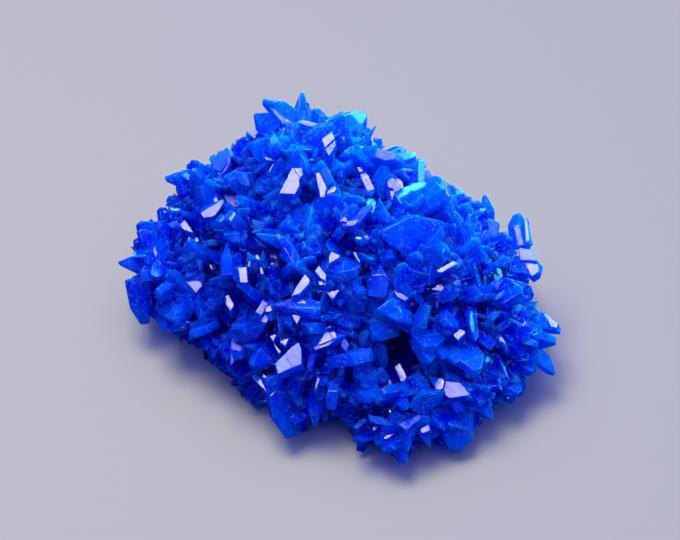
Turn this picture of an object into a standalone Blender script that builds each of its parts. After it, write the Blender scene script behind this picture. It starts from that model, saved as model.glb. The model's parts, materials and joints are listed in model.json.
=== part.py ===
"""Chalcanthite, a loose hand specimen of intergrown blue crystals, made as one closed solid.

The specimen is one grown thing: a lumpy crust of small crystals, and the larger crystals that
stand out of it. It is broken off flat underneath and rests on that face.

Frame: +Z up, the origin on the flat underside below the middle of the specimen, +X along its
longest side, and the side that was looked at towards -Y. Sizes below are in millimetres.

Crystals are placed as they are seen from the viewing point, in front and above: `seen` is a place
on the picture plane through the specimen's middle, in millimetres right and up. The line of sight
through it meets the crust where the crystal stands.
"""
import math
from dataclasses import dataclass

import bmesh
import bpy
import numpy as np

MM = 0.001

# The viewing point, and how finely a line of sight is followed past the specimen
VIEW_RISE_DEG = 50.0
VIEW_DISTANCE = 500.0
VIEW_TARGET = np.array([0.0, 0.0, 20.0])
SIGHT_MARGIN = 70.0
SIGHT_STEP = 0.25

# The crust: knobs that run into each other, seen from one inner point
HEART = np.array([2.0, -1.0, 9.0])
KNOB_BLEND = 0.42
KNOB_OVERGROWTH = 2.2
KNOB_FALL = 1.3
KNOBS = {
    "top": (-7, 21, 31, 14),
    "top_right": (3, 21, 27, 13),
    "top_left": (-18, 20, 24, 12.5),
    "left_shoulder": (-26, 15, 20, 14),
    "left_end": (-35, 6, 14, 10.5),
    "left_foot": (-31, -1, 12, 9),
    "middle_left": (-12, -1, 24, 15.5),
    "middle": (3, 2, 24, 16),
    "right_shoulder": (14, 10, 25, 12.5),
    "right_back": (22, 8, 20, 13),
    "right": (24, -5, 21, 17),
    "right_end": (32, -10, 13, 12),
    "front": (-5.5, -14.5, 12, 15),
    "front_left": (-17.5, -8, 12, 12),
    "nose": (13, -27, 9, 9.5),
    "nose_right": (24, -21, 9, 10),
    "back_left": (-18, 22, 13, 14),
    "back": (6, 23, 13, 14.5),
    "back_right": (24, 13, 12, 13.5),
}
CRUST_BEARINGS = 44
CRUST_RISES = 19
CRUST_ROUGHNESS = 0.9
NORMAL_STEP = 0.04
TINY = 1e-6
FOOT_SHARE = 0.84
FOOT_DEPTH = 5.0
CUT_SLAB = 60.0

# Crystal form: a six-sided profile, widest at the shoulder
PROFILE = np.array(
    [(0.5, 0.0), (0.33, 0.5), (-0.33, 0.5), (-0.5, 0.0), (-0.33, -0.5), (0.33, -0.5)]
)
ROOT_SHARE = 0.62
CHISEL_SHOULDER = 0.66
CHISEL_EDGE = 0.16

# Crystals grown at random over the crust, by a repeatable draw
SEED = 29
SCATTERED = 150
SCATTER_GAP = 5.4
SCATTER_LENGTH = (8.0, 12.5)
SCATTER_WIDTH = (3.6, 6.0)
SCATTER_THICKNESS = (1.8, 3.2)
SCATTER_PROUD = (0.2, 0.32)
SCATTER_LEAN = 0.7
SCATTER_CHISEL_SHARE = 0.65
SCATTER_LOWEST_RISE_DEG = -6.0

CRYSTAL_BLUE = (0.004, 0.055, 0.62, 1.0)


@dataclass(frozen=True)
class Crystal:
    """One crystal as it is seen from the viewing point.

    seen is the middle of its broad face, turn the direction of its tip in the picture (0 right,
    90 up), face how far the broad face is turned right and up from facing the viewer, and proud
    how far the face stands in front of the crust. chisel is True for a roof-like tip.
    """

    seen: tuple
    turn: float
    size: tuple
    face: tuple = (0.0, 0.0)
    proud: float = 1.5
    chisel: bool = True


CRYSTALS = (
    # Top knob
    Crystal((-12.0, 35.6), 145, (9.0, 4.4, 2.0), (0, 30), 0.5),
    Crystal((-7.6, 35.6), 80, (8.0, 3.6, 2.4), (5, 20), 0.5),
    Crystal((-15.6, 33.2), 150, (7.0, 5.0, 3.0), (-10, 25), 0.5, False),
    Crystal((2.0, 33.0), 20, (10.0, 6.0, 3.4), (10, 35), 1.0, False),
    Crystal((6.4, 29.8), 50, (7.0, 2.6, 1.8), (20, 10), 1.0),
    Crystal((7.4, 27.6), 15, (7.0, 2.8, 1.8), (20, 20), 1.0),
    Crystal((-3.4, 29.6), 35, (9.0, 6.4, 4.0), (-12, 8), 2.0, False),
    Crystal((-9.8, 20.8), 55, (8.0, 4.2, 2.6), (-6, 20), 2.0, False),
    Crystal((-2.7, 20.2), 115, (7.5, 4.8, 4.2), (8, 28), 2.4, False),
    Crystal((5.2, 21.7), 115, (7.5, 2.0, 3.6), (-8, 18), 2.0, False),
    Crystal((11.7, 19.6), 100, (6.0, 3.8, 2.4), (-5, 18), 1.5),
    Crystal((-3.1, 14.6), 200, (9.0, 5.0, 3.0), (5, -20), 1.2),
    # Upper right
    Crystal((18.4, 17.6), 20, (12.0, 8.0, 5.0), (12, 34), 2.0, False),
    Crystal((16.0, 9.0), 168, (13.0, 8.6, 2.6), (10, 2), 3.0, False),
    Crystal((4.0, 13.5), 30, (7.5, 3.2, 2.2), (-10, 26), 1.6),
    Crystal((22.5, 2.9), 25, (6.0, 2.0, 4.0), (-6, 20), 2.0, False),
    Crystal((31.2, 14.6), 95, (7.0, 3.0, 1.8), (15, 15), 0.8),
    Crystal((38.6, 10.8), 100, (7.5, 3.4, 3.0), (30, 20), 0.5, False),
    Crystal((39.4, 3.1), 350, (7.0, 4.2, 3.0), (10, 28), 0.8, False),
    # Left
    Crystal((-24.2, 25.0), 70, (6.5, 3.8, 2.2), (-8, 22), 1.0),
    Crystal((-33.0, 21.2), 172, (7.0, 3.2, 2.2), (-15, 20), 0.5),
    Crystal((-37.4, 7.4), 70, (9.0, 5.0, 3.0), (-14, 12), 1.5),
    Crystal((-43.0, 3.4), 172, (7.0, 3.4, 2.6), (-20, 15), 0.5),
    Crystal((-41.2, -4.6), 278, (10.0, 5.4, 3.2), (-12, -6), 1.5),
    Crystal((-31.7, 11.3), 320, (5.0, 3.0, 2.0), (-6, 20), 1.8),
    Crystal((-26.0, 15.0), 30, (5.5, 3.0, 2.4), (-4, 16), 1.8),
    Crystal((-23.5, 4.8), 95, (8.0, 2.4, 2.0), (-10, 26), 2.0),
    Crystal((-20.0, 1.4), 95, (5.0, 2.2, 2.6), (-6, 20), 2.0, False),
    Crystal((-22.8, -4.7), 268, (6.0, 2.0, 2.0), (-6, 20), 1.8),
    Crystal((-30.4, -1.0), 40, (7.0, 4.0, 2.4), (-8, 4), 1.4),
    # Middle
    Crystal((-10.4, 6.3), 120, (8.0, 2.6, 2.0), (4, 22), 1.6),
    Crystal((-0.8, 6.3), 60, (6.0, 2.4, 2.6), (-6, 20), 1.8),
    Crystal((-3.8, 1.5), 120, (5.0, 2.4, 3.0), (-6, 20), 2.4, False),
    Crystal((-8.1, -0.8), 50, (7.5, 2.6, 2.4), (-6, 20), 2.2),
    Crystal((-0.8, -2.7), 225, (4.6, 3.0, 2.4), (-6, 20), 2.0),
    Crystal((-8.5, -5.0), 176, (9.5, 3.2, 2.8), (0, 34), 2.6),
    Crystal((8.3, -0.2), 80, (6.5, 4.4, 3.0), (-12, 14), 1.8, False),
    Crystal((13.1, -2.7), 140, (6.0, 2.8, 2.2), (-6, 20), 1.8),
    Crystal((11.3, -4.6), 80, (5.0, 2.6, 2.2), (4, -4), 1.6),
    # Front
    Crystal((-2.1, -11.7), 20, (7.0, 3.8, 3.0), (-6, 18), 2.0, False),
    Crystal((-10.4, -16.2), 45, (8.5, 4.6, 2.8), (-6, 20), 2.2),
    Crystal((-15.4, -21.9), 325, (8.0, 2.2, 4.0), (-6, 20), 1.8, False),
    Crystal((-10.6, -26.4), 284, (14.0, 6.4, 3.4), (22, -4), 1.8),
    Crystal((-16.5, -25.6), 240, (7.0, 4.6, 3.4), (-10, -6), 0.8, False),
    Crystal((-20.2, -22.6), 215, (6.0, 4.0, 3.0), (-16, 0), 0.6, False),
    Crystal((-4.4, -26.6), 262, (8.0, 3.6, 2.2), (4, -6), 1.0),
    Crystal((1.4, -27.2), 290, (8.0, 4.4, 2.4), (8, -4), 0.8),
    Crystal((13.2, -19.4), 290, (6.5, 1.8, 3.4), (-6, 20), 1.4, False),
    # Right
    Crystal((25.4, -11.5), 30, (4.6, 1.9, 3.0), (-6, 20), 2.0, False),
    Crystal((34.0, -12.5), 330, (5.0, 1.6, 3.0), (-6, 20), 1.8, False),
    Crystal((43.0, -8.6), 332, (7.5, 3.4, 2.4), (10, 26), 0.6),
    Crystal((43.2, -16.6), 318, (7.0, 3.2, 2.6), (14, 20), 0.6, False),
    Crystal((22.5, -21.9), 340, (10.0, 5.0, 3.2), (-6, 20), 2.4),
    # Nose
    Crystal((24.8, -30.4), 266, (10.5, 7.0, 4.0), (8, -8), 1.0, False),
    Crystal((15.2, -28.7), 8, (10.0, 3.4, 3.0), (-8, 24), 2.0, False),
    Crystal((10.8, -33.6), 236, (8.0, 3.4, 1.8), (-6, -8), 0.6),
    Crystal((14.4, -34.6), 262, (8.5, 3.6, 1.8), (0, -6), 0.8),
    Crystal((18.0, -33.6), 288, (8.0, 3.4, 1.8), (8, -6), 0.8),
    Crystal((30.4, -26.0), 300, (7.0, 4.0, 2.6), (12, 4), 0.6),
)


def viewing_frame():
    """The eye, and the picture's right, up and towards-the-viewer directions."""
    rise = math.radians(VIEW_RISE_DEG)
    right = np.array([1.0, 0.0, 0.0])
    back = np.array([0.0, -math.cos(rise), math.sin(rise)])
    return VIEW_TARGET + VIEW_DISTANCE * back, right, np.cross(back, right), back


def knob_reach(directions):
    """Distance from the heart to the outside of the knobs along unit directions.

    Each knob is a ball, and its far side along a direction counts. Past a ball's edge its reach
    falls away steeply. The knobs are joined by a soft maximum.
    """
    reaches = []
    for x, y, z, radius in KNOBS.values():
        centre = np.array([x, y, z]) - HEART
        along = directions @ centre
        inside = along**2 - centre @ centre + radius**2
        slope = np.where(inside > 0.0, 1.0, -KNOB_FALL)
        reaches.append(along + slope * np.sqrt(np.abs(inside)))
    reaches = np.array(reaches)
    farthest = reaches.max(axis=0)
    spread = np.exp(KNOB_BLEND * (reaches - farthest)).sum(axis=0)
    return farthest + np.log(spread) / KNOB_BLEND - KNOB_OVERGROWTH


def crust_reach(directions):
    """Distance from the heart to the crust along unit directions.

    Downwards the crust goes on as an upright foot, a little narrower than the specimen is at the
    heart's height, to below the flat underside, which is cut later.
    """
    level = np.hypot(directions[:, 0], directions[:, 1])
    level = np.maximum(level, TINY)
    sideways = directions / level[:, None]
    sideways[:, 2] = 0.0
    foot = FOOT_SHARE * knob_reach(sideways) / level
    bottom = (HEART[2] + FOOT_DEPTH) / np.maximum(-directions[:, 2], TINY)
    reach = knob_reach(directions)
    return np.where(directions[:, 2] < 0.0, np.maximum(reach, np.minimum(foot, bottom)), reach)


def crust_point(direction):
    """The point of the crust along one unit direction from the heart."""
    return HEART + crust_reach(direction[None])[0] * direction


def crust_normal(direction):
    """Outward normal of the crust, from three neighbouring points."""
    aside = np.cross(direction, [0.0, 0.0, 1.0])
    if np.linalg.norm(aside) < TINY:
        aside = np.array([1.0, 0.0, 0.0])
    aside /= np.linalg.norm(aside)
    above = np.cross(aside, direction)
    here = crust_point(direction)
    ends = [direction + NORMAL_STEP * aside, direction + NORMAL_STEP * above]
    first, second = (crust_point(end / np.linalg.norm(end)) - here for end in ends)
    normal = np.cross(first, second)
    normal /= np.linalg.norm(normal)
    return normal if normal @ direction > 0 else -normal


def sighted_point(seen):
    """Where the line of sight through a place on the picture plane first meets the crust."""
    eye, right, up, _ = viewing_frame()
    sight = VIEW_TARGET + seen[0] * right + seen[1] * up - eye
    sight /= np.linalg.norm(sight)
    steps = np.arange(VIEW_DISTANCE - SIGHT_MARGIN, VIEW_DISTANCE + SIGHT_MARGIN, SIGHT_STEP)
    points = eye + steps[:, None] * sight
    offsets = points - HEART
    distances = np.linalg.norm(offsets, axis=1)
    gaps = distances - crust_reach(offsets / distances[:, None])
    met = np.flatnonzero(gaps < 0.0)
    return points[met[0] if len(met) else np.argmin(gaps)], -sight


def crystal_points(length, width, thickness, chisel):
    """Corners of a crystal with its root at 0, its tip along +Z and its broad face towards +Y.

    The profile is carried from the root, where it is narrower, to the shoulder. A chisel tip
    closes to a short edge along the width, and a flat tip is the profile itself.
    """
    flat = PROFILE * [width, thickness]
    shoulder_height = length * (CHISEL_SHOULDER if chisel else 1.0)
    root = np.column_stack([flat * ROOT_SHARE, np.zeros(len(flat))])
    shoulder = np.column_stack([flat, np.full(len(flat), shoulder_height)])
    if not chisel:
        return np.vstack([root, shoulder])
    half_edge = CHISEL_EDGE * width
    edge = np.array([[half_edge, 0.0, length], [-half_edge, 0.0, length]])
    return np.vstack([root, shoulder, edge])


def crystal_faces(chisel):
    """Faces over crystal_points, each counter-clockwise from outside."""
    count = len(PROFILE)
    around = [(i, (i + 1) % count) for i in range(count)]
    faces = [tuple(reversed(range(count)))]
    faces += [(i, j, count + j, count + i) for i, j in around]
    if not chisel:
        return faces + [tuple(range(count, 2 * count))]
    right, left = 2 * count, 2 * count + 1
    nearer = {i: right if PROFILE[i][0] > 0 else left for i in range(count)}
    for i, j in around:
        ends = [nearer[j], nearer[i]] if nearer[i] != nearer[j] else [nearer[i]]
        faces.append((count + i, count + j, *ends))
    return faces


def add_crystal(name, root, axis, broad, size, chisel, into):
    """A crystal object standing at root, its tip along axis and its broad face along broad."""
    across = np.cross(broad, axis)
    points = crystal_points(*size, chisel) @ np.array([across, broad, axis]) + root
    mesh = bpy.data.meshes.new(name)
    mesh.from_pydata((points * MM).tolist(), [], crystal_faces(chisel))
    obj = bpy.data.objects.new(name, mesh)
    obj.hide_render = True
    obj.display_type = "WIRE"
    into.objects.link(obj)


def add_seen_crystals(into):
    """The crystals of the list, each on the line of sight through its place in the picture."""
    _, right, up, back = viewing_frame()
    for number, crystal in enumerate(CRYSTALS):
        met, towards_eye = sighted_point(crystal.seen)
        turn_right, turn_up = (math.radians(a) for a in crystal.face)
        broad = (
            math.sin(turn_right) * math.cos(turn_up) * right
            + math.sin(turn_up) * up
            + math.cos(turn_right) * math.cos(turn_up) * back
        )
        turn = math.radians(crystal.turn)
        tip = math.cos(turn) * right + math.sin(turn) * up
        tip -= (tip @ broad) / (back @ broad) * back
        tip /= np.linalg.norm(tip)
        length, _, thickness = crystal.size
        middle = met + crystal.proud * towards_eye
        root = middle - 0.5 * length * tip - 0.5 * thickness * broad
        add_crystal(
            f"seen_crystal_{number:02d}", root, tip, broad, crystal.size, crystal.chisel, into
        )


def scattered_directions(rng):
    """Directions from the heart that keep a gap between their places on the crust."""
    kept = []
    places = []
    while len(kept) < SCATTERED:
        bearing = rng.uniform(0.0, 2.0 * math.pi)
        lowest = math.sin(math.radians(SCATTER_LOWEST_RISE_DEG))
        height = rng.uniform(lowest, 1.0)
        level = math.sqrt(1.0 - height**2)
        direction = np.array([level * math.cos(bearing), level * math.sin(bearing), height])
        place = crust_point(direction)
        if all(np.linalg.norm(place - other) > SCATTER_GAP for other in places):
            kept.append(direction)
            places.append(place)
    return kept


def add_scattered_crystals(into):
    """Crystals all over the crust, each leaning off the crust's normal at random."""
    rng = np.random.default_rng(SEED)
    for number, direction in enumerate(scattered_directions(rng)):
        normal = crust_normal(direction)
        lean = SCATTER_LEAN * rng.uniform(-1.0, 1.0, 3)
        axis = normal + lean - (lean @ normal) * normal
        axis /= np.linalg.norm(axis)
        broad = np.cross(axis, rng.normal(size=3))
        broad /= np.linalg.norm(broad)
        size = tuple(
            rng.uniform(*span) for span in (SCATTER_LENGTH, SCATTER_WIDTH, SCATTER_THICKNESS)
        )
        sunk = 1.0 - rng.uniform(*SCATTER_PROUD)
        root = crust_point(direction) - sunk * size[0] * axis
        chisel = rng.random() < SCATTER_CHISEL_SHARE
        add_crystal(f"scattered_crystal_{number:02d}", root, axis, broad, size, chisel, into)


def crust_mesh():
    """The crust, a closed skin of rings round the heart, carried down past the flat underside.

    Its corners stand in and out a little at random, as the tips of many small crystals.
    """
    rng = np.random.default_rng(SEED)
    bearings = np.linspace(0.0, 2.0 * math.pi, CRUST_BEARINGS, endpoint=False)
    rises = np.linspace(-0.5 * math.pi, 0.5 * math.pi, CRUST_RISES)
    points = [crust_point(np.array([0.0, 0.0, -1.0]))]
    for rise in rises[1:-1]:
        level = math.cos(rise)
        height = np.full(CRUST_BEARINGS, math.sin(rise))
        ring = np.column_stack([level * np.cos(bearings), level * np.sin(bearings), height])
        rough = CRUST_ROUGHNESS * level * rng.uniform(-1.0, 1.0, CRUST_BEARINGS)
        points.extend(HEART + (crust_reach(ring) + rough)[:, None] * ring)
    points.append(crust_point(np.array([0.0, 0.0, 1.0])))
    around = [(i, (i + 1) % CRUST_BEARINGS) for i in range(CRUST_BEARINGS)]
    faces = [(0, 1 + j, 1 + i) for i, j in around]
    for ring in range(CRUST_RISES - 3):
        low = 1 + ring * CRUST_BEARINGS
        high = low + CRUST_BEARINGS
        faces += [(low + i, low + j, high + j, high + i) for i, j in around]
    last = 1 + (CRUST_RISES - 3) * CRUST_BEARINGS
    faces += [(last + i, last + j, len(points) - 1) for i, j in around]
    mesh = bpy.data.meshes.new("crystal_cluster")
    mesh.from_pydata([tuple(p * MM) for p in points], [], faces)
    return mesh


def crystal_material():
    """Clear blue crystal: glassy faces with a dense blue body."""
    material = bpy.data.materials.new("chalcanthite crystal")
    material.use_nodes = True
    shader = material.node_tree.nodes["Principled BSDF"]
    shader.inputs["Base Color"].default_value = CRYSTAL_BLUE
    shader.inputs["Roughness"].default_value = 0.1
    shader.inputs["Metallic"].default_value = 0.0
    return material


def add_underside_cutter():
    """A slab whose top is the flat break under the specimen."""
    bpy.ops.mesh.primitive_cube_add(size=1.0, location=(0.0, 0.0, -0.5 * CUT_SLAB * MM))
    slab = bpy.context.object
    slab.name = "underside_cutter"
    slab.scale = (4.0 * CUT_SLAB * MM, 4.0 * CUT_SLAB * MM, CUT_SLAB * MM)
    slab.hide_render = True
    slab.display_type = "WIRE"
    return slab


def keep_outer_skin(mesh):
    """Deletes every island of faces but the widest, such as a pocket shut in between crystals."""
    skin = bmesh.new()
    skin.from_mesh(mesh)
    unseen = set(skin.verts)
    islands = []
    while unseen:
        island = {unseen.pop()}
        edge_of_island = list(island)
        while edge_of_island:
            vertex = edge_of_island.pop()
            for edge in vertex.link_edges:
                other = edge.other_vert(vertex)
                if other in unseen:
                    unseen.remove(other)
                    island.add(other)
                    edge_of_island.append(other)
        islands.append(island)
    islands.sort(key=lambda island: max(v.co.x for v in island) - min(v.co.x for v in island))
    for island in islands[:-1]:
        bmesh.ops.delete(skin, geom=list(island), context="VERTS")
    skin.to_mesh(mesh)
    skin.free()


def main():
    for obj in list(bpy.data.objects):
        bpy.data.objects.remove(obj)
    scene = bpy.context.scene
    grown = bpy.data.collections.new("grown_crystals")
    grown.hide_render = True
    scene.collection.children.link(grown)
    add_seen_crystals(grown)
    add_scattered_crystals(grown)

    crust = bpy.data.objects.new("crust", crust_mesh())
    scene.collection.objects.link(crust)
    joined = crust.modifiers.new("join crystals", "BOOLEAN")
    joined.operation = "UNION"
    joined.operand_type = "COLLECTION"
    joined.collection = grown
    broken = crust.modifiers.new("flat underside", "BOOLEAN")
    broken.operation = "DIFFERENCE"
    broken.object = add_underside_cutter()

    graph = bpy.context.evaluated_depsgraph_get()
    mesh = bpy.data.meshes.new_from_object(crust.evaluated_get(graph))
    bpy.data.objects.remove(crust)
    keep_outer_skin(mesh)
    mesh.name = "crystal_cluster"
    mesh.materials.clear()
    mesh.materials.append(crystal_material())
    cluster = bpy.data.objects.new("crystal_cluster", mesh)
    scene.collection.objects.link(cluster)


main()
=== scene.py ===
"""Chalcanthite specimen: a loose cluster of intergrown deep-blue crystals, with its studio.

The specimen is one lumpy form with a granular crust sunk in it. Three kinds of crystals grow out
of the crust: large ones placed one by one as they are seen, crystals whose flat ends mirror the
lamp, and coats of scattered ones in sprays. All that touch are joined to one closed mesh, in four
parts that keep each mesh small. Sizes are in millimetres until a mesh is made.
"""

from __future__ import annotations

import json
import logging
import math
import time
from dataclasses import dataclass, fields
from enum import Enum
from typing import NamedTuple

import bmesh
import bpy
import numpy as np
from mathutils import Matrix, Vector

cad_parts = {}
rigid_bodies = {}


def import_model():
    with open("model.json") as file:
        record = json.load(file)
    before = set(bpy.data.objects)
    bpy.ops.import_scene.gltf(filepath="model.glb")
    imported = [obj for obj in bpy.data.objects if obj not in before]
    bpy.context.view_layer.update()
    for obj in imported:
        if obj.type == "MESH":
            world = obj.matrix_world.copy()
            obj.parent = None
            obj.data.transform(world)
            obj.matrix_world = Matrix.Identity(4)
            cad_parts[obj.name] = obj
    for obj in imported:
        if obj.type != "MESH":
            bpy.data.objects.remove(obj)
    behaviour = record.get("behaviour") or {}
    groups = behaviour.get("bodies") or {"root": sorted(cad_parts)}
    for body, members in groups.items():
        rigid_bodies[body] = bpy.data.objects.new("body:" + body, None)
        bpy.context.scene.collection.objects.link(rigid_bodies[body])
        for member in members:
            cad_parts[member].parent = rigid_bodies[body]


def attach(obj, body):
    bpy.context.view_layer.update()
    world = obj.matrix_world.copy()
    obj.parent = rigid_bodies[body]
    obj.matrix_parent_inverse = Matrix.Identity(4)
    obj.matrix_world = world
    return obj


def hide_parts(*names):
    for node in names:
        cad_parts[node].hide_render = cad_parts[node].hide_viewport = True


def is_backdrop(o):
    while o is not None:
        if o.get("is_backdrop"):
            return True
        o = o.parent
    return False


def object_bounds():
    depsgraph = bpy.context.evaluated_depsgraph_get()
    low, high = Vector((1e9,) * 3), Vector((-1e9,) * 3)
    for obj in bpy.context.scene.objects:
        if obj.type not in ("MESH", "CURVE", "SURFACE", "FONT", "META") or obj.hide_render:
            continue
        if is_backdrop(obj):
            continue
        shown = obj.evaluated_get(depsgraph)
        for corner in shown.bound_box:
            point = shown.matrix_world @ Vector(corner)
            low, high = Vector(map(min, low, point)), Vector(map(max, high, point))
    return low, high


LOG = logging.getLogger("specimen")
MM = 0.001
BODY = "root"
NODE = "crystal_cluster"
TINY = 1e-9
SMALL = 1e-6
EDGE_MARK = 2.0
MATRIX_MARK = 3.0
MARK_ROOM = 0.5
KEY_PLACE = (-130.0, 5.0, 720.0)


def unit(vectors: np.ndarray) -> np.ndarray:
    """Vectors scaled to length one along the last axis."""
    return vectors / np.maximum(np.linalg.norm(vectors, axis=-1, keepdims=True), TINY)


def linear(hex_colour: str) -> tuple[float, float, float, float]:
    """Linear RGBA of an sRGB hex colour.

    Args:
        hex_colour: Six hex digits.

    Returns:
        Linear red, green, blue and an alpha of one.
    """
    parts = [int(hex_colour[i : i + 2], 16) / 255.0 for i in (0, 2, 4)]
    red, green, blue = (
        c / 12.92 if c <= 0.04045 else ((c + 0.055) / 1.055) ** 2.4 for c in parts
    )
    return red, green, blue, 1.0


@dataclass(frozen=True)
class ViewingPoint:
    """Where the specimen is looked at from, and the picture plane through its middle."""

    rise_deg: float = 50.0
    distance: float = 500.0
    target: tuple[float, float, float] = (0.0, 0.0, 20.0)
    frame_width_px: float = 680.0
    px_per_mm: float = 4.8
    target_px: tuple[float, float] = (338.0, 280.0)
    centre_right: float = 0.42
    centre_up: float = 2.08
    sensor: float = 36.0
    nearest_m: float = 0.01

    def axes(self) -> tuple[np.ndarray, np.ndarray, np.ndarray]:
        """The picture's own axes.

        Returns:
            The right, up and towards-the-viewer directions.
        """
        rise = math.radians(self.rise_deg)
        right = np.array([1.0, 0.0, 0.0])
        back = np.array([0.0, -math.cos(rise), math.sin(rise)])
        return right, np.cross(back, right), back

    def eye(self) -> np.ndarray:
        """The eye's place."""
        return np.array(self.target) + self.distance * self.axes()[2]

    def on_plane(self, pixels: np.ndarray) -> np.ndarray:
        """Places on the picture plane, right and up of the target, of pixels of the frame."""
        return (pixels - self.target_px) * [1.0, -1.0] / self.px_per_mm

    def seen(self, points: np.ndarray) -> np.ndarray:
        """Where points are seen, with things nearer the eye seen larger.

        Args:
            points: Points, one a row.

        Returns:
            For each, right and up on the picture plane, and how far towards the eye it is.
        """
        right, up, back = self.axes()
        offsets = points - np.array(self.target)
        nearer = offsets @ back
        scale = self.distance / (self.distance - nearer)
        return np.column_stack([offsets @ right * scale, offsets @ up * scale, nearer])

    def camera(self) -> bpy.types.Object:
        """Makes the camera and sets it as the scene's.

        Returns:
            The camera, turned so that the target stands a little off the frame's centre.
        """
        right, up, _ = self.axes()
        data = bpy.data.cameras.new("camera")
        data.sensor_width = self.sensor
        data.lens = self.sensor * self.px_per_mm * self.distance / self.frame_width_px
        data.clip_start = self.nearest_m
        camera = bpy.data.objects.new("camera", data)
        aim = np.array(self.target) + self.centre_right * right + self.centre_up * up
        back = unit(self.eye() - aim)
        level = unit(np.cross([0.0, 0.0, 1.0], back))
        turned = np.eye(4)
        turned[:3, 0], turned[:3, 1], turned[:3, 2] = level, np.cross(back, level), back
        turned[:3, 3] = self.eye() * MM
        camera.matrix_world = turned.T.tolist()
        bpy.context.scene.collection.objects.link(camera)
        bpy.context.scene.camera = camera
        return camera


@dataclass(frozen=True)
class Form:
    """The specimen's lumpy form: knobs that run into each other, seen from one inner point.

    Each knob is a ball, and its far side along a direction counts. Past a ball's edge its reach
    falls away steeply, and the knobs are joined by a soft maximum. Below the inner point the form
    goes on as an upright foot to the flat underside at height zero.
    """

    heart: tuple[float, float, float] = (2.0, -1.0, 9.0)
    blend: float = 0.42
    overgrowth: float = 2.2
    fall: float = 1.3
    foot_share: float = 0.84
    normal_step: float = 0.03
    deep: float = 5.0
    out: float = 4.5
    draws: int = 12
    least_slant: float = 0.35
    largest_area: float = 0.98
    sight_half: float = 70.0
    sight_step: float = 0.25
    knobs: tuple[tuple[float, float, float, float], ...] = (
        (-7, 21, 31, 14),
        (3, 21, 27, 13),
        (-18, 20, 24, 12.5),
        (-26, 15, 20, 14),
        (-35, 6, 14, 10.5),
        (-31, -1, 12, 9),
        (-12, -1, 24, 15.5),
        (3, 2, 24, 16),
        (14, 10, 25, 12.5),
        (22, 8, 20, 13),
        (24, -5, 21, 17),
        (32, -10, 13, 12),
        (-5.5, -14.5, 12, 15),
        (-17.5, -8, 12, 12),
        (13, -27, 9, 9.5),
        (24, -21, 9, 10),
        (-18, 22, 13, 14),
        (6, 23, 13, 14.5),
        (24, 13, 12, 13.5),
    )

    def knob_reach(self, directions: np.ndarray) -> np.ndarray:
        """Distance from the heart to the outside of the knobs.

        Args:
            directions: Unit directions, one a row.

        Returns:
            One distance for each direction.
        """
        knobs = np.array(self.knobs, float)
        centres = knobs[:, :3] - self.heart
        along = directions @ centres.T
        inside = along**2 - (centres**2).sum(axis=1) + knobs[:, 3] ** 2
        reach = along + np.where(inside > 0.0, 1.0, -self.fall) * np.sqrt(np.abs(inside))
        farthest = reach.max(axis=1)
        spread = np.exp(self.blend * (reach - farthest[:, None])).sum(axis=1)
        return farthest + np.log(spread) / self.blend - self.overgrowth

    def reach(self, directions: np.ndarray) -> np.ndarray:
        """Distance from the heart to the form's outside, its foot included.

        Upwards it is the knobs' own. Downwards it is the larger of the knobs' and the foot's,
        up to where the direction meets height zero.

        Args:
            directions: Unit directions, one a row.

        Returns:
            One distance for each direction.
        """
        level = np.maximum(np.hypot(directions[:, 0], directions[:, 1]), SMALL)
        sideways = np.column_stack([directions[:, :2] / level[:, None], np.zeros(len(level))])
        foot = self.foot_share * self.knob_reach(sideways) / level
        down = directions[:, 2] < 0.0
        bottom = self.heart[2] / np.where(down, np.maximum(-directions[:, 2], SMALL), 1.0)
        knobs = self.knob_reach(directions)
        return np.where(down, np.minimum(np.maximum(knobs, foot), bottom), knobs)

    def points(self, directions: np.ndarray, depth: float | np.ndarray = 0.0) -> np.ndarray:
        """Points a depth inside the form's outside, along directions from the heart."""
        return np.array(self.heart) + (self.reach(directions) - depth)[:, None] * directions

    def normals(self, directions: np.ndarray) -> np.ndarray:
        """Outward normals: across the steps from a point to one a little aside and one above.

        Args:
            directions: Unit directions from the heart, one a row.

        Returns:
            One unit normal for each direction.
        """
        aside = unit(np.cross(directions, [0.0, 0.0, 1.0]) + [SMALL, 0.0, 0.0])
        above = np.cross(aside, directions)
        here = self.points(directions)
        first = self.points(unit(directions + self.normal_step * aside)) - here
        second = self.points(unit(directions + self.normal_step * above)) - here
        normals = unit(np.cross(first, second))
        outwards = np.sign((normals * directions).sum(axis=1, keepdims=True))
        return normals * np.where(outwards == 0.0, 1.0, outwards)

    def outwards(self, points: np.ndarray) -> np.ndarray:
        """How far out points stand: 0 well inside the form, 1 well outside it.

        Args:
            points: Points along the last axis.

        Returns:
            One number for each point, in the same arrangement.
        """
        offsets = points.reshape(-1, 3) - self.heart
        distance = np.linalg.norm(offsets, axis=1)
        beyond = distance - self.reach(offsets / distance[:, None])
        share = np.clip((beyond + self.deep) / (self.deep + self.out), 0.0, 1.0)
        return share.reshape(points.shape[:-1])

    def scatter(self, count: int, lowest: float, rng: np.random.Generator) -> np.ndarray:
        """Directions spread evenly over the form's area.

        Args:
            count: How many.
            lowest: Sine of the lowest rise that gets any.
            rng: The repeatable draw.

        Returns:
            Unit directions, one a row.
        """
        tries = count * self.draws
        bearing = rng.uniform(0.0, 2.0 * math.pi, tries)
        height = rng.uniform(lowest, 1.0, tries)
        level = np.sqrt(1.0 - height**2)
        directions = np.column_stack([level * np.cos(bearing), level * np.sin(bearing), height])
        slant = np.abs((self.normals(directions) * directions).sum(axis=1))
        area = self.reach(directions) ** 2 / np.maximum(slant, self.least_slant)
        kept = np.flatnonzero(rng.random(tries) < area / np.quantile(area, self.largest_area))
        return directions[kept[:count]]

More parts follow.
